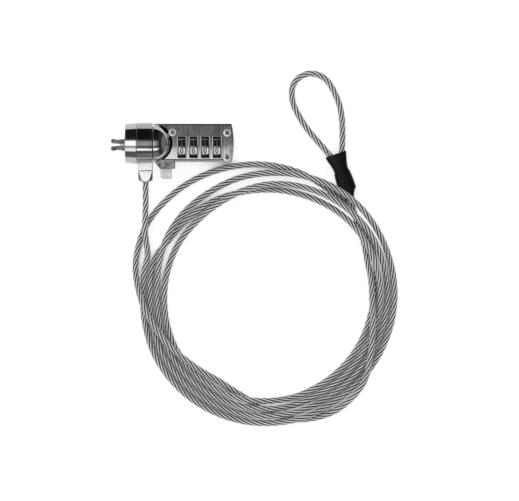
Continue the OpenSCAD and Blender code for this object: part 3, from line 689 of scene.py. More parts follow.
def build(name, loops, body, slot, *nodes, finish=None, cap_ends=False, smooth_angle=35):
    """Piece through closed loops in mm, with caps or else from the last loop back to the first."""
    piece = skin(name, np.array(loops) * MM, not cap_ends, cap_ends, smooth_angle)
    return fit_to(piece, body, slot, *nodes, finish=finish)


def dark_inside(piece, cols, rows):
    """Gives the last rows of faces and the last cap of a piece with caps a near black that paints the shade
    inside it.
    """
    dark = np.zeros(len(piece.data.polygons), bool)
    dark[-2 - rows * cols:] = True
    dark[-2] = False
    second_finish(piece, "bare_inside", dark)


def box_mm(node):
    """Lowest and highest corner of a CAD node in mm."""
    return [np.array(corner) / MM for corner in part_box(node)]


# %% [markdown]
# ## Swivel ring and nose collar
#
# The ring and the collar are lathe work, so each is a profile turned about the barrel.
# The collar's face has a slot for the jaws, which a turned surface can't have. It is
# made as a row of closed loops instead: the loops start inside the back, come over the
# taper to the face as circles, and cross the face from the circle to the slot's
# rectangle, which then carries on inwards as the slot's walls.

# %% Ring
(ring_x0, _, _), (ring_x1, _, ring_r) = box_mm("swivel_ring")
JOURNAL_R = 8.6
ring_profile = rectangle(ring_x0, ring_x1, JOURNAL_R + 0.05, ring_r, 0.22)
build("swivel_ring_shell", [circle_loop(x, r) for x, r in ring_profile], "cable_anchor", "bright_chrome",
      "swivel_ring", finish="ring_chrome")

# %% Collar with its slot
JAW_Y = -0.8
SLOT_W, SLOT_H = 6.8, 3.0
FACE_R, FACE_EDGE, FACE_T = 10.4, 0.35, 4.2
BORE_R = 7.65
collar_x1 = box_mm("nose_collar")[1][0]


def slot_loop(x, margin=0.0):
    """The slot's rectangle met by rays from its middle, so that it pairs with a circle's points."""
    half_y, half_z = SLOT_W / 2 + margin, SLOT_H / 2 + margin
    c, s = np.cos(round_a), np.sin(round_a)
    reach = np.minimum(half_y / np.maximum(np.abs(c), 1e-9), half_z / np.maximum(np.abs(s), 1e-9))
    return np.stack([np.full(ROUND_STEPS, x), JAW_Y + reach * c, reach * s], -1)


# From the bore over the back edge, down the taper, round the face's edge and into the slot
collar_loops = [circle_loop(FACE_T, BORE_R), circle_loop(collar_x1, BORE_R)]
collar_loops += [circle_loop(collar_x1 - back, ring_r - drop)
                 for back, drop in ((0, 0.35), (0, 0.2), (0.06, 0.06), (0.2, 0), (0.32, 0.01))]
collar_loops += [circle_loop(x, FACE_R + (ring_r - FACE_R) * x / collar_x1) for x in (4.0, 2.0, 0.7)]
collar_loops += [circle_loop(FACE_EDGE * down, FACE_R - FACE_EDGE * drop) for down, drop in quarter(6)]
collar_loops += [circle_loop(0, FACE_R - 0.5), slot_loop(0, 0.4), slot_loop(0, 0.15), slot_loop(0.05, 0.04),
                 slot_loop(0.15), slot_loop(FACE_T)]
collar = build("nose_collar_shell", collar_loops, "lock_body", "bright_chrome", "nose_collar")
# Painted shade on the slot's walls and the face behind them
second_finish(collar, "bare_inside", slice(-2 * ROUND_STEPS, None))

# %% [markdown]
# ## Swivel lug
#
# The cable leaves the ring through a die-cast lug. It is square and full where it
# meets the ring, and long bevels narrow its faces towards the cable. Each loop across
# it is an eight-cornered outline, and the bevels are those corners cut deeper from
# loop to loop.

# %% Lug
lug_low, lug_high = box_mm("cable_socket")
lug_x, lug_y0 = (lug_low[0] + lug_high[0]) / 2, lug_high[1]
lug_half_w, lug_len, lug_half_t = (lug_high - lug_low) / (2, 1, 2)
BEVEL_FROM, BEVEL_W, BEVEL_D, END_R = 4.2, 2.0, 1.6, 1.6
EDGE_CUT, HOLD = 0.25, 0.22


def lug_loop(s, shrink=0.0):
    """Outline s mm from the ring: a rectangle whose corners are cut by the bevels, on a sagging line."""
    cut = min(max((s - BEVEL_FROM) / (lug_len - BEVEL_FROM), 0), 1)
    u = min(max((s - (lug_len - END_R)) / END_R, 0), 1)
    w = lug_half_w - END_R * (1 - math.sqrt(1 - u * u)) - shrink
    t = lug_half_t - shrink
    a, b = EDGE_CUT + (BEVEL_W - EDGE_CUT) * cut, EDGE_CUT + (BEVEL_D - EDGE_CUT) * cut
    a = min(a, w - 0.35)
    # Half of the outline, and then the same half turned round
    half = np.array([[-w + a, -t], [-w + a + HOLD, -t], [w - a - HOLD, -t], [w - a, -t],
                     [w, b - t], [w, b - t + HOLD], [w, t - b - HOLD], [w, t - b]])
    line = arc_corners(np.concatenate([half, -half]), [0.12, 0, 0, 0.12] * 4, 4, hold=False)
    sag = math.exp(-((s - BEVEL_FROM) / 0.8) ** 2) * (
        0.5 * (1 - (line[:, 0] / lug_half_w) ** 2) + 0.2 * np.sin(3.1 * line[:, 0]))
    return np.stack([lug_x + line[:, 0], lug_y0 - s - sag, line[:, 1]], -1)


CREASE_AT, CREASE_DEEP = 4.15, 0.3
lug_steps = np.concatenate([[0.05, 0.6, 1.5, 2.5, 3.3, 3.8, 3.95, 4.05, CREASE_AT, 4.25, 4.35, 4.6],
                            np.linspace(5.2, lug_len - END_R, 8),
                            lug_len - END_R * (1 - np.sin(np.linspace(0.2, 1.4, 7)))])
crease = CREASE_DEEP * np.exp(-((lug_steps - CREASE_AT) / 0.11) ** 2)
lug_loops = [lug_loop(s, d) for s, d in zip(lug_steps, crease)]
lug_loops += [lug_loop(lug_len - 0.02, 0.15), lug_loop(lug_len, 0.3)]
lug = build("swivel_lug", lug_loops, "cable_anchor", "bright_chrome", "cable_socket", finish="satin_nickel",
            cap_ends=True, smooth_angle=25)

# %% Polished bevels and crease, whose darker tone paints shade in the crease and a dark reflection on the bevels
face = np.arange(len(lug.data.polygons))
lug_row, lug_col = np.divmod(face, len(lug_loops[0]))
# A quarter of an outline has ten points, and the face from its last point is the bevel
on_bevel = (lug_col % 10 == 9) & (face < len(face) - 2)
# The crease is two rows deep on either side of its middle loop
middle_row = list(lug_steps).index(CREASE_AT)
on_crease = (lug_row >= middle_row - 2) & (lug_row < middle_row + 2)
# Painted shade and reflection: these faces take a chrome of much lower tone than the nickel round them
second_finish(lug, "dark_chrome", on_bevel | on_crease)
print("polished lug faces:", np.count_nonzero(on_bevel | on_crease))

# %% [markdown]
# ## Jaws
#
# Two flat hooks of hardened steel stand out of the nose. Each has a straight bar and a
# round knob at its tip. A bar and a disc could be joined, but a seam would show at the
# neck, so each hook is one flat outline with a round rim.

# %% Jaws
PIVOT_X = 2.6
(jaw_tip, _, _), (_, _, jaw_half_t) = box_mm("upper_jaw")
JAW_SWING = math.sin(math.radians(4.4))
ROOT_Y, NECK_Y, REAR_Y = 3.2, 2.6, 0.72
KNOB_R, BAR_END = 1.15, -3.1
knob_x = jaw_tip + KNOB_R
# Closing swings the tips inwards, so the two knobs and bars start that far apart
knob_y = (PIVOT_X - knob_x) * JAW_SWING + 0.12 + KNOB_R
bar_inner = (PIVOT_X - BAR_END) * JAW_SWING + 0.04
jaw_line = arc_corners(
    [[PIVOT_X + 1.4, REAR_Y], [PIVOT_X + 1.4, ROOT_Y], [0, ROOT_Y], [knob_x + 1.75, NECK_Y],
     [knob_x + 1.0, knob_y + KNOB_R], [knob_x - KNOB_R, knob_y + KNOB_R], [knob_x - KNOB_R, knob_y - KNOB_R],
     [BAR_END, bar_inner], [-0.4, bar_inner], [-0.2, REAR_Y]],
    [0.4, 1.1, 2.0, 0.5, 0.5, KNOB_R - 0.01, KNOB_R - 0.01, 1.0, 0.3, 0.3], 8)
for side, name, body in ((1, "upper_jaw", "jaw_a"), (-1, "lower_jaw", "jaw_b")):
    line = (jaw_line * (1, side) + (0, JAW_Y))[::side]
    build(name + "_hook", slab(line, jaw_half_t, 0.26), body, "jaw_steel", name, cap_ends=True)

# %% [markdown]
# ## Plunger spring
#
# Behind the jaws a wound spring pushes the spreader forward, and the button's travel shortens it. The wire is
# a small circle carried along a helix. A spring can't ride on one body, so it rides on the lock.

# %% Spring wire
SPRING_R, WIRE_R, SPRING_TURNS = 1.95, 0.25, 6
(spring_x0, _, _), (spring_x1, _, _) = box_mm("plunger_spring")


def spring_grid(rings_per_turn=24, sides=10):
    """Helix C(t) = (x, R cos t, R sin t) and on it N cos b + (T x N) sin b, N out from the axis, T along."""
    t = np.arange(SPRING_TURNS * rings_per_turn + 1) * 2 * math.pi / rings_per_turn
    x = np.linspace(spring_x0 + WIRE_R, spring_x1 - WIRE_R, len(t))
    line = np.stack([x, JAW_Y + SPRING_R * np.cos(t), SPRING_R * np.sin(t)], -1)
    along = np.gradient(line, axis=0)
    along /= np.linalg.norm(along, axis=1)[:, None]
    out = np.stack([0 * t, np.cos(t), np.sin(t)], -1)
    b = (np.arange(sides) * 2 * math.pi / sides)[None, :, None]
    return line[:, None] + WIRE_R * (np.cos(b) * out[:, None] + np.sin(b) * np.cross(along, out)[:, None])


spring = build("plunger_coil", spring_grid(), "lock_body", "spring_steel", "plunger_spring", cap_ends=True,
               smooth_angle=60)
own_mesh(spring)

# %% [markdown]
# ## Case
#
# The housing that carries the dials is one zinc casting: a tub with round lower edges
# and a bowed end, a ball-shaped shoulder behind the ring, the journal that the ring
# turns on, and a boss for the button. It is made as four closed pieces that meet, and
# the tub is really hollow, so that the dials turn in free space.

# %% Tub
(_, _, case_low), (case_end, _, _) = box_mm("lock_housing")
(_, cover_y0, case_top), (_, cover_y1, rim_z) = box_mm("cover_plate")
case_x0 = ring_x1 + 0.45
CASE_FRONT, CASE_REAR = -9.9, 10.2
BOW_R, BOW_Y = 48.4, 0.15
EDGE_R, TOP_EDGE, END_EDGE = 4.0, 0.25, 0.35
WALL = 1.1
mid_y, half_y = (CASE_REAR + CASE_FRONT) / 2, (CASE_REAR - CASE_FRONT) / 2


def bow_x(y):
    """X of the bowed end at y: a circle's arc whose middle is at the case's end."""
    return case_end - BOW_R + np.sqrt(BOW_R**2 - (y - BOW_Y) ** 2)


bow_ys = np.linspace(-half_y, half_y, 21)[1:-1]
length = case_end - case_x0
bow = [[length, y] for y in (-half_y, *bow_ys, half_y)]
base = arc_corners([[0, -half_y], *bow, [0, half_y]], [0.5, 0.6] + [0] * len(bow_ys) + [0.6, 0.5])
base_u, base_v = base[:, 0] / length, base[:, 1] / half_y


def tub_loop(z, inset_y, inset_x):
    """The case's outline at height z, drawn in from its long sides and from its ends."""
    y = mid_y + base_v * (half_y - inset_y)
    x0, x1 = case_x0 + 0.12 + inset_x, bow_x(y) - inset_x
    return lying(np.stack([x0 + base_u * (x1 - x0), y], -1), z)


# From the bottom round the lower edge, up the side, over the top edge and down inside
tub_loops = [tub_loop(case_low, EDGE_R + 1, 2.0)]
tub_loops += [tub_loop(case_low + EDGE_R * down, EDGE_R * drop, END_EDGE * drop**2)
              for down, drop in quarter(10)[::-1]]
tub_loops += [tub_loop(z, 0, 0) for z in np.linspace(case_low + EDGE_R + 1, case_top - 0.3, 5)]
tub_loops += [tub_loop(case_top - TOP_EDGE * down, TOP_EDGE * drop, TOP_EDGE * drop)
              for down, drop in quarter(4)]
tub_loops += [tub_loop(z, inset_y, inset_x) for z, inset_y, inset_x in (
    (case_top, WALL - 0.1, WALL - 0.1), (case_top - 0.1, WALL, WALL), (-5, WALL, WALL),
    (case_low + WALL, EDGE_R, WALL), (case_low + WALL, EDGE_R + 2, 4))]
case_tub = build("case_tub", tub_loops, "lock_body", "bright_chrome", "lock_housing", cap_ends=True)
# Painted shade inside the tub
dark_inside(case_tub, len(base), 4)

# %% Shoulder and journal
DOME_R, DOME_WALL = 10.65, 0.6
SHOULDER_BORE = 8.3
BALL_ROWS = 44
# Height at which the ball goes under the cover, and its least and greatest distance from the axis there
UNDER_COVER, REACH = 3.3, (3.4, 9.9)
dome_c = ring_x1 + 0.1


def shoulder_loops():
    """Shell P = C + R (cos s, sin s cos a, sin s sin a); s ends where the ball goes under the cover."""
    reach = np.clip(UNDER_COVER / np.maximum(np.sin(round_a), 0.05), *REACH)
    from_s = math.acos((case_x0 + 0.16 - dome_c) / DOME_R)
    s = from_s + np.linspace(0, 1, BALL_ROWS)[:, None] * (np.arcsin(reach / DOME_R)[None, :] - from_s)
    ball = np.stack([np.cos(s), np.sin(s) * np.cos(round_a), np.sin(s) * np.sin(round_a)], -1)
    rim_r = DOME_R * math.sin(from_s)
    front = [circle_loop(case_x0, r) for r in (SHOULDER_BORE, SHOULDER_BORE + 0.2, rim_r - 0.4, rim_r - 0.16)]
    front.append(circle_loop(case_x0 + 0.05, rim_r - 0.05))
    # The inner ball comes back without its last two rows, which the flat front wall replaces
    inner = ((DOME_R - DOME_WALL) * ball + (dome_c, 0, 0))[:1:-1]
    back = [circle_loop(case_x0 + 0.5, r) for r in (DOME_R - DOME_WALL - 0.05, SHOULDER_BORE)]
    return np.concatenate([front, DOME_R * ball + (dome_c, 0, 0), inner, back])


build("case_shoulder", shoulder_loops(), "lock_body", "bright_chrome")
journal = held(np.array(
    [[collar_x1 - 0.3, 5], [collar_x1 - 0.3, JOURNAL_R - 0.2], [collar_x1 - 0.1, JOURNAL_R],
     [case_x0 + 0.2, JOURNAL_R], [case_x0 + 0.3, JOURNAL_R - 0.1], [case_x0 + 0.3, 5]]))
build("ring_journal", [circle_loop(x, r) for x, r in journal], "lock_body", "hard_steel",
      finish="oiled_steel")

# %% Button boss
BOSS_Y, BOSS_HALF, BOSS_EDGE = -13.4, 3.6, 0.3
BUTTON_HALF, BUTTON_PLAY = 2.0, 0.12
(button_x0, button_y, _), (button_x1, _, _) = box_mm("release_button")
button_x0, button_x1 = button_x0 + 0.6, button_x1 - 0.6


def boss_loop(y, lean, shrink=0.0):
    """Rectangle across the boss at y, whose left side leans in, drawn in all round."""
    half = BOSS_HALF - shrink
    return standing(rectangle(ring_x1 + 1.7 + lean + shrink, ring_x1 + 11.7 - shrink, -half, half, 0.5, 6), y)


def mouth_loop(y, grow=0.0):
    """Rectangle of the button's pocket at y."""
    play = BUTTON_PLAY + grow
    half = BUTTON_HALF + play
    return standing(rectangle(button_x0 - play, button_x1 + play, -half, half, 0.3 + grow, 6), y)


boss_loops = [boss_loop(y, lean) for y, lean in (
    (CASE_FRONT + 0.9, 0), (CASE_FRONT - 0.8, 0), (CASE_FRONT - 1.2, 0.15), (BOSS_Y + 0.5, 1.5))]
boss_loops += [boss_loop(BOSS_Y + BOSS_EDGE * down, 1.6, BOSS_EDGE * drop) for down, drop in quarter(5)]
boss_loops += [boss_loop(BOSS_Y, 1.6, 0.4), mouth_loop(BOSS_Y, 0.15), mouth_loop(BOSS_Y + 0.03, 0.04),
               mouth_loop(BOSS_Y + 0.1), mouth_loop(CASE_FRONT + 0.5)]
boss = build("button_boss", boss_loops, "lock_body", "satin_chrome", finish="rough_cast", cap_ends=True)
# Painted shade inside the button's pocket
dark_inside(boss, len(boss_loops[0]), 1)

# %% [markdown]
# ## Button
#
# The button is a plain block with soft edges and one round corner, and slides in the
# boss. A bevelled cube would have four corners alike, so this is an outline with a
# radius for each. Its inner end stops short of the pocket's floor by more than its
# travel.

# %% Button
button_line = rectangle(button_x0, button_x1, button_y, BOSS_Y + 0.2, [1.5, 0.6, 0.4, 0.4], 8)
build("button_block", slab(button_line, BUTTON_HALF, 0.35), "button", "satin_chrome", "release_button",
      finish="button_nickel", cap_ends=True)

# %% [markdown]
# ## Cover plate
#
# The cover is a plate with four windows for the dials, each with a low polished rim,
# and its left end is cut round to follow the ball-shaped shoulder. A boolean would
# leave long thin faces round the holes, so the edges are built first, as stacks of
# loops for the outside and for each window. Only the flat faces between the stacks
# are filled, with triangles that never bend.

# %% Loops of the plate
PLATE_Z = 5.0
CUT_R = DOME_R + 0.6
WINDOW_W, WINDOW_L = 4.2, 11.1
DIAL_Y, WINDOW_Y = -2.1, -2.05
dial_xs = [sum(box_mm("dial_%d" % k))[0] / 2 for k in (1, 2, 3, 4)]


def plate_loop(z, inset):
    """Plate's outline at z: straight long sides, a bowed right end and a round cut with r^2 = R^2 - z^2."""
    r = math.sqrt(CUT_R**2 - z**2) + inset
    y0, y1 = cover_y0 + inset, cover_y1 - 1.5 * inset
    right = np.linspace(y0, y1, 25)
    arc = np.linspace(math.asin(y1 / r), -math.asin(-y0 / r), 40)
    points = np.concatenate([np.stack([bow_x(right) - 0.3 - inset, right], -1),
                             np.stack([dome_c + r * np.cos(arc), r * np.sin(arc)], -1)])
    radii = np.zeros(len(points))
    radii[[0, len(right) - 1]] = 0.3
    return lying(arc_corners(points, radii, hold=False), z)


def window_loop(x, z, grow):
    """Rectangle with round corners round the window at x."""
    half_w, half_l = WINDOW_W / 2 + grow, WINDOW_L / 2 + grow
    line = rectangle(x - half_w, x + half_w, WINDOW_Y - half_l, WINDOW_Y + half_l, 0.25 + grow, hold=False)
    return lying(line, z)


# Height over the underside and inset, up the side and over the bevel
bevel_steps = rows_of("""
0 0, 0.1 0, 1.03 0, 1.12 0.01, 1.19 0.06, 1.25 0.14, 1.45 0.28, 1.485 0.35, 1.5 0.38, 1.5 0.42
""")
# Height and outset, up the window's wall, over its rim and down to the plate
rim_steps = [(case_top, 0), (case_top + 0.1, 0), (rim_z - 0.13, 0), (rim_z - 0.04, 0.04), (rim_z, 0.13),
             (rim_z, 0.3), (rim_z - 0.03, 0.39), (rim_z - 0.12, 0.45), (PLATE_Z + 0.04, 0.47), (PLATE_Z, 0.5),
             (PLATE_Z, 0.53)]
stacks = [[plate_loop(case_top + up, inset) for up, inset in bevel_steps]]
stacks += [[window_loop(x, z, grow) for z, grow in rim_steps] for x in dial_xs]
print("plate loops:", sum(len(stack) for stack in stacks))


# %% Walls and flat faces of the plate
def flat_fill(loops, starts, cut_r, grow):
    """Triangles between the loops, whose points count from starts; none in a window or in the round cut."""
    index = np.concatenate([start + np.arange(len(line)) for line, start in zip(loops, starts)])
    points = np.concatenate(loops)[:, :2]
    own = np.split(np.arange(len(points)), np.cumsum([len(line) for line in loops])[:-1])
    edges = np.concatenate([np.stack([i, np.roll(i, -1)], -1) for i in own])
    _, _, triangles, source, _, _ = delaunay_2d_cdt(points.tolist(), edges.tolist(), [], 0, 1e-6)
    corners = np.array([s[0] for s in source])[np.array(triangles)]
    x, y = points[corners].mean(1).T
    in_cut = np.hypot(x - dome_c, y) < cut_r
    beside = np.abs(x[:, None] - np.array(dial_xs)).min(1) < WINDOW_W / 2 + grow
    in_window = beside & (np.abs(y - WINDOW_Y) < WINDOW_L / 2 + grow)
    return index[corners[~(in_cut | in_window)]].tolist()


sizes = [len(stack) * len(stack[0]) for stack in stacks]
starts = np.cumsum([0] + sizes[:-1])
walls = [grid_faces(len(stack), len(stack[0]), first=at) for stack, at in zip(stacks, starts)]
wall_faces = [f for faces in walls for f in faces]
last_starts = [at + size - len(stack[0]) for stack, at, size in zip(stacks, starts, sizes)]
under = flat_fill([stack[0] for stack in stacks], starts, math.sqrt(CUT_R**2 - case_top**2), 0)
top = flat_fill([stack[-1] for stack in stacks], last_starts,
                math.sqrt(CUT_R**2 - PLATE_Z**2) + bevel_steps[-1][1], rim_steps[-1][1])
plate = mesh_piece("cover_plate_sheet", np.concatenate([loop for stack in stacks for loop in stack]) * MM,
                   wall_faces + under + top, flat=len(under) + len(top))
fit_to(plate, "lock_body", "satin_chrome", "cover_plate")
# The windows' rims are polished
second_finish(plate, "bright_chrome", slice(len(walls[0]), len(wall_faces)))

# %% [markdown]
# ## Screws
#
# Three pan-head screws hold the cover. A head is a low dome with a cross recess, so
# its height is a function of radius and angle: the dome's profile, less the depth of
# the recess where the point lies within half a slot of either arm.

# %% Screw heads
SCREW_R, SCREW_H, SCREW_STEPS = 2.1, 0.9, 144
FLAT_R, ARM_LEN, ARM_HALF, RECESS_DEEP = 1.0, 1.3, 0.31, 0.55
RECESS_ROWS = 12
screw_radii = np.array([0.04, 0.1, 0.16, 0.22, 0.28, 0.34, 0.42, 0.55, 0.7, 0.85, 1.0, 1.1, 1.2, 1.3, 1.45,
                        1.6, 1.75, 1.9, 2.0, 2.06, SCREW_R, SCREW_R])[:, None]


def screw_head(x, y, turn):
    """Height z(r, a) = dome(r) - recess, with the recess a smooth step across each arm of the cross."""
    r = screw_radii
    a = (np.arange(SCREW_STEPS) * 2 * math.pi / SCREW_STEPS)[None, :]
    px, py = r * np.cos(a), r * np.sin(a)
    share = np.clip(r - FLAT_R, 0, None) / (SCREW_R - FLAT_R + 0.02)
    dome = SCREW_H * np.sqrt(np.clip(1 - share**2.2, 0.02, 1))
    # Distance from the nearer arm's middle line, and far off past the arm's end
    across = np.minimum(np.abs(px) + 9 * (np.abs(py) > ARM_LEN), np.abs(py) + 9 * (np.abs(px) > ARM_LEN))
    recess = RECESS_DEEP * np.clip((ARM_HALF - across) / 0.07, 0, 1)
    high = dome - recess * (r < ARM_LEN + 0.05)
    high[-1] = -0.3
    c, s = math.cos(turn), math.sin(turn)
    return np.stack([x + px * c - py * s, y + px * s + py * c, PLATE_Z + high], -1)


# X and Y in mm, and the turn of the cross in radians
screw_spots = [(24.9, 5.5, 0.35), (dial_xs[3] + 5.3, 5.3, 0.9), (dial_xs[3] + 5.3, -7.6, 0.15)]
for k, spot in enumerate(screw_spots, 1):
    screw = build("cover_screw_%d" % k, screw_head(*spot), "lock_body", "bright_chrome", "cover_screws",
                  finish="screw_nickel", cap_ends=True, smooth_angle=40)
    # Painted shade: the cross recess and the middle of the head take the darker chrome
    second_finish(screw, "dark_chrome", slice(RECESS_ROWS * SCREW_STEPS))

# %% [markdown]
# ## Dials
#
# Each dial is a ring with ten flat faces, a fine groove at each corner for the thumb
# and a number on each face. The section across the axis is drawn once and carried
# along the axis, and drawn in at both ends for round shoulders. The numbers come from
# Blender's own font. Each is turned into a mesh first, and then laid on its face with
# plain vector sums: face centre + u along X + v up the face + w outwards.

# %% Dial rings
DIAL_R, DIAL_W, DIAL_BORE, GROOVE_R = 6.6, 3.7, 4.45, 0.35
FACE_DEGREES = 36
apothem = DIAL_R * math.cos(math.radians(FACE_DEGREES / 2))


def dial_section():
    """Ten-sided outline in Y-Z; at corner f the groove's points are (R - g cos b) c(f) + g sin b t(f)."""
    f = np.radians(90 + FACE_DEGREES * np.arange(10))[:, None]
    b = np.radians(np.linspace(-72, 72, 7))[None, :]
    r, t = DIAL_R - GROOVE_R * np.cos(b), GROOVE_R * np.sin(b)
    points = np.stack([r * np.cos(f) - t * np.sin(f), r * np.sin(f) + t * np.cos(f)], -1).reshape(-1, 2)
    return arc_corners(points, [0.06, 0, 0, 0, 0, 0, 0.06] * 10, 4)


section = dial_section()
bore = DIAL_BORE * section / np.linalg.norm(section, axis=1)[:, None]
inset, depth = round_rim(0.3)
# From the bore at one end over both shoulders to the bore at the other end
dial_outlines = [bore] + [section + e * inward(section) for e in (*inset, *inset[::-1])] + [bore]
dial_steps = DIAL_W / 2 - np.concatenate([[0], depth])
dial_steps = np.concatenate([-dial_steps, dial_steps[::-1]])
for k, x in enumerate(dial_xs, 1):
    loops = [np.insert(line + (DIAL_Y, 0), 0, x + step, axis=1)
             for line, step in zip(dial_outlines, dial_steps)]
    build("dial_ring_%d" % k, loops, "dial_set_%d" % k, "dial_chrome", "dial_%d" % k, smooth_angle=30)

# %% Numbers as meshes
DIGIT_H = 2.9


def digit_mesh(text):
    """Points (u, v, w) in mm and faces of one number, DIGIT_H high and centred, from the built-in font."""
    curve = bpy.data.curves.new("digit", "FONT")
    curve.body = text
    curve.extrude = 0.02
    curve.offset = 0.04
    curve.resolution_u = 4
    holder = bpy.data.objects.new("digit", curve)
    bpy.context.scene.collection.objects.link(holder)
    mesh = bpy.data.meshes.new_from_object(holder.evaluated_get(bpy.context.evaluated_depsgraph_get()))
    work = bmesh.new()
    work.from_mesh(mesh)
    bmesh.ops.remove_doubles(work, verts=work.verts, dist=1e-5)
    bmesh.ops.dissolve_degenerate(work, edges=work.edges, dist=1e-4)
    work.verts.index_update()
    bmesh.ops.recalc_face_normals(work, faces=work.faces)
    points = np.array([v.co[:] for v in work.verts])
    faces = [[v.index for v in f.verts] for f in work.faces]
    work.free()
    bpy.data.objects.remove(holder)
    bpy.data.curves.remove(curve)
    low, high = points.min(0), points.max(0)
    scale = DIGIT_H / (high[1] - low[1])
    return (points - (low + high) / 2) * (scale, scale, 1), faces


def around_dial(digits):
    """Points about the dial's middle, in mm, and faces of all numbers, each on its own face of the dial."""
    all_points, all_faces, at = [], [], 0
    for n, (points, faces) in enumerate(digits):
        theta = math.radians(FACE_DEGREES * (n - 0.5))
        u, v, w = points.T
        out = apothem + w
        all_points.append(np.stack([u, out * math.sin(theta) + v * math.cos(theta),
                                    out * math.cos(theta) - v * math.sin(theta)], -1))
        all_faces += [[i + at for i in f] for f in faces]
        at += len(points)
    return np.concatenate(all_points), all_faces


number_points, number_faces = around_dial([digit_mesh(str(n)) for n in range(10)])
for k, x in enumerate(dial_xs, 1):
    numbers = mesh_piece("dial_numbers_%d" % k, (number_points + (x, DIAL_Y, 0)) * MM, number_faces,
                         flat=len(number_faces))
    fit_to(numbers, "dial_set_%d" % k, "dial_chrome", finish="number_paint")

# %% [markdown]
# ## Sleeve over the crimp
#
# A black plastic sleeve is shrunk over the ferrule. It hugs the cable at its lower
# end, swells over the crimp and opens like a flat trumpet round the loop's two legs.
# Its section is a superellipse, with half width, half height and sideways shift as
# smooth functions of the place along the ferrule. Shrinking leaves faint rings, which
# are a low wave along the sleeve.

# %% Sleeve
SLEEVE_WALL, SLEEVE_PLAY, SLEEVE_SIDES = 0.4, 0.06, 72
RIPPLE, RIPPLE_RATE = 0.05, 5.1
# Place, half width, half height and shift, all in mm
sleeve_stations = rows_of("""
-6.4 2.5 2.4 0.6, -4.2 2.9 2.7 0.4, -2.2 3.7 3 0.1, -0.6 4.75 3.4 0, 2.7 4.75 3.5 0,
8.5 4.4 3.3 0, 10 3.95 3.1 0, 13.5 4.5 2.9 0, 17 5.5 2.85 0, 19 5.9 2.8 0
""")


def sleeve_rows(s, skin_in):
    """Rings (w sign(cos a) |cos a|^0.7 + shift, h sign(sin a) |sin a|^0.8) at s, drawn in by skin_in."""
    w, h, shift = (through_knots(sleeve_stations[:, 0], sleeve_stations[:, c], s)[:, None] for c in (1, 2, 3))
    a = (np.arange(SLEEVE_SIDES) * 2 * math.pi / SLEEVE_SIDES)[None, :]
    c, d = np.cos(a), np.sin(a)
    wave = RIPPLE * np.sin(RIPPLE_RATE * s) * np.sin(math.pi * np.clip((s + 6) / 25, 0, 1))
    grow = (wave - SLEEVE_PLAY - skin_in)[:, None]
    across = shift + (w + grow) * np.sign(c) * np.abs(c) ** 0.7
    high = (h + grow) * np.sign(d) * np.abs(d) ** 0.8
    return np.stack(np.broadcast_arrays(*at_ferrule(s[:, None], across, high)), -1)


s_low, s_high = sleeve_stations[0, 0], sleeve_stations[-1, 0]
# The lips at both ends are rounded: step from the end, and how far the skin is drawn in there
lip = np.array([0.0, 0.03, 0.1, 0.2])
lip_in = lip[::-1]
outer_s = np.linspace(s_low + 0.2, s_high - 0.2, 110)
run_s = np.concatenate([s_low + lip, outer_s, s_high - lip[::-1]])
run_in = np.concatenate([lip_in, 0 * outer_s, lip_in[::-1]])
# Out along the outside and back along the inside
run_s = np.concatenate([run_s, run_s[::-1]])
run_in = np.concatenate([run_in, (SLEEVE_WALL - run_in)[::-1]])
keep = np.concatenate([[False], (np.abs(np.diff(run_s)) + np.abs(np.diff(run_in))) > 1e-6])
sleeve = skin("shrunk_sleeve", sleeve_rows(run_s[keep], run_in[keep]), wrap_rows=True, smooth_angle=60)
fit_to(sleeve, "cable_anchor", "black_sleeve", "loop_sleeve")

# %% [markdown]
# ## Table and light
#
# Polished chrome has almost no colour of its own: what it shows is the room. So the
# room is designed for it, as a studio is for silverware, with a bright strip
# overhead, a dark wall behind and a grey wall in front. The world is asked for the
# direction of a reflected ray and answers with a grey level. Matt things get an even
# light instead, and the camera sees plain white.

# %% Room for the metal
world = bpy.data.worlds.new("room")
bpy.context.scene.world = world
world.use_nodes = True
room = world.node_tree
room.nodes.clear()
aim_x, aim_y, aim_z = add(room, "SeparateXYZ", add(room, "TexCoord").outputs["Generated"]).outputs
lean = math_of(room, "ARCTAN2", aim_y, aim_z)
lean = add(room, "MapRange", Value=lean, From_Min=-math.pi, From_Max=math.pi).outputs[0]


def by_lean(stops):
    """Grey by the degrees that a direction leans from the zenith towards the back."""
    return ramp(room, lean, [((degrees + 180) / 360, level) for degrees, level in stops])


def by_x(near, far, first, last):
    """Goes from one grey to another while the direction's X goes from first to last."""
    share = add(room, "MapRange", Value=aim_x, From_Min=first, From_Max=last).outputs[0]
    return mixed(room, share, near, far)


strips = by_lean([
    (-180, 0.7), (-104, 0.7), (-100, 0.15), (-94, 0.18), (-88, 0.35), (-60, 0.32), (-53, 0.08), (-45, 0.3),
    (-41, 2.6), (-33, 2.4), (-29, 0.22), (-24, 0.14), (-16, 0.28), (-12, 0.75), (0, 0.6), (10, 0.45),
    (16, 0.09), (25, 0.012), (84, 0.012), (88, 0.08), (92, 0.7), (180, 0.7)])
overhead = by_lean([
    (-180, 0.7), (-104, 0.7), (-96, 0.25), (-53, 0.15), (-41, 2.3), (-30, 1.2), (-20, 0.4), (-12, 2.3),
    (8, 2.3), (18, 0.12), (30, 0.02), (86, 0.02), (92, 0.7), (180, 0.7)])
# The nose's cone sees a brighter ceiling; the right wall is dark with a pale patch
right_wall = ramp(room, aim_x, [(0.0, 0.05), (0.7, 0.05), (0.85, 0.3), (0.95, 0.3), (1.0, 0.1)])
seen = by_x(strips, overhead, -0.08, -0.13)
seen = by_x(seen, (0.5, 0.5, 0.5, 1), -0.35, -0.75)
seen = by_x(seen, right_wall, 0.3, 0.6)

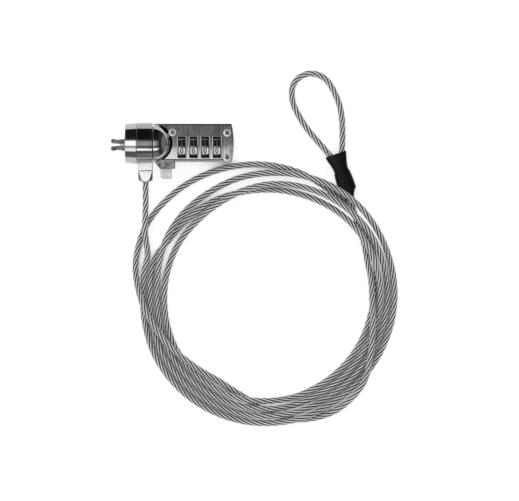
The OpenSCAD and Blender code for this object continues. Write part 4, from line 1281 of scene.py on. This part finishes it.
# %% What each kind of ray gets
ray = add(room, "LightPath")
seen_in_metal = add(room, "Background", seen)
even_light = add(room, "Background", Color=WHITE, Strength=0.85)
plain_white = add(room, "Background", Color=WHITE, Strength=1.0)
lit = add(room, "MixShader", ray.outputs["Is Glossy Ray"], even_light.outputs[0], seen_in_metal.outputs[0])
lit = add(room, "MixShader", ray.outputs["Is Camera Ray"], lit.outputs[0], plain_white.outputs[0])
add(room, "OutputWorld", lit.outputs[0])
print("room nodes:", len(room.nodes))

# %% Table top
TABLE_HALF, TABLE_PLAY = 3.0, 0.0002
square = np.array([[-1, -1], [1, -1], [1, 1], [-1, 1]]) * TABLE_HALF
table = mesh_piece("table_top", lying(square, TABLE_Z - TABLE_PLAY), [[0, 1, 2, 3]])
table_finish, tree, shader = new_finish("white_table", Base_Color=(0.32, 0.32, 0.32, 1), Roughness=0.9,
                                        Specular_IOR_Level=0.0, Emission_Color=WHITE)
ray = add(tree, "LightPath")
seen = math_of(tree, "MAXIMUM", ray.outputs["Is Camera Ray"], ray.outputs["Is Glossy Ray"])
seen = math_of(tree, "MAXIMUM", seen, ray.outputs["Is Transmission Ray"])
# The glow dies out in the narrow gaps between the cable's turns, as light does
nearby = add(tree, "AmbientOcclusion", samples=8, Distance=6 * MM).outputs["AO"]
glow = math_of(tree, "MULTIPLY", seen, ramp(tree, nearby, [(0.2, 0.0), (0.45, 0.75), (0.8, 0.8)]))
settle(tree, shader, Emission_Strength=glow)
dress(table, table_finish)
print("table width, m:", 2 * TABLE_HALF)

# %% Soft lamp
lamp_data = bpy.data.lights.new("soft_lamp", "AREA")
lamp_data.energy = 2.2
lamp_data.size = 0.9
lamp = bpy.data.objects.new("soft_lamp", lamp_data)
lamp.location = (-0.35, 0.45, 1.0)
lamp.rotation_euler = (math.radians(-24), math.radians(-20), 0)
lamp.visible_glossy = False
bpy.context.scene.collection.objects.link(lamp)
print("lamp power, W:", lamp_data.energy)

bpy.context.scene.view_settings.view_transform = "Standard"
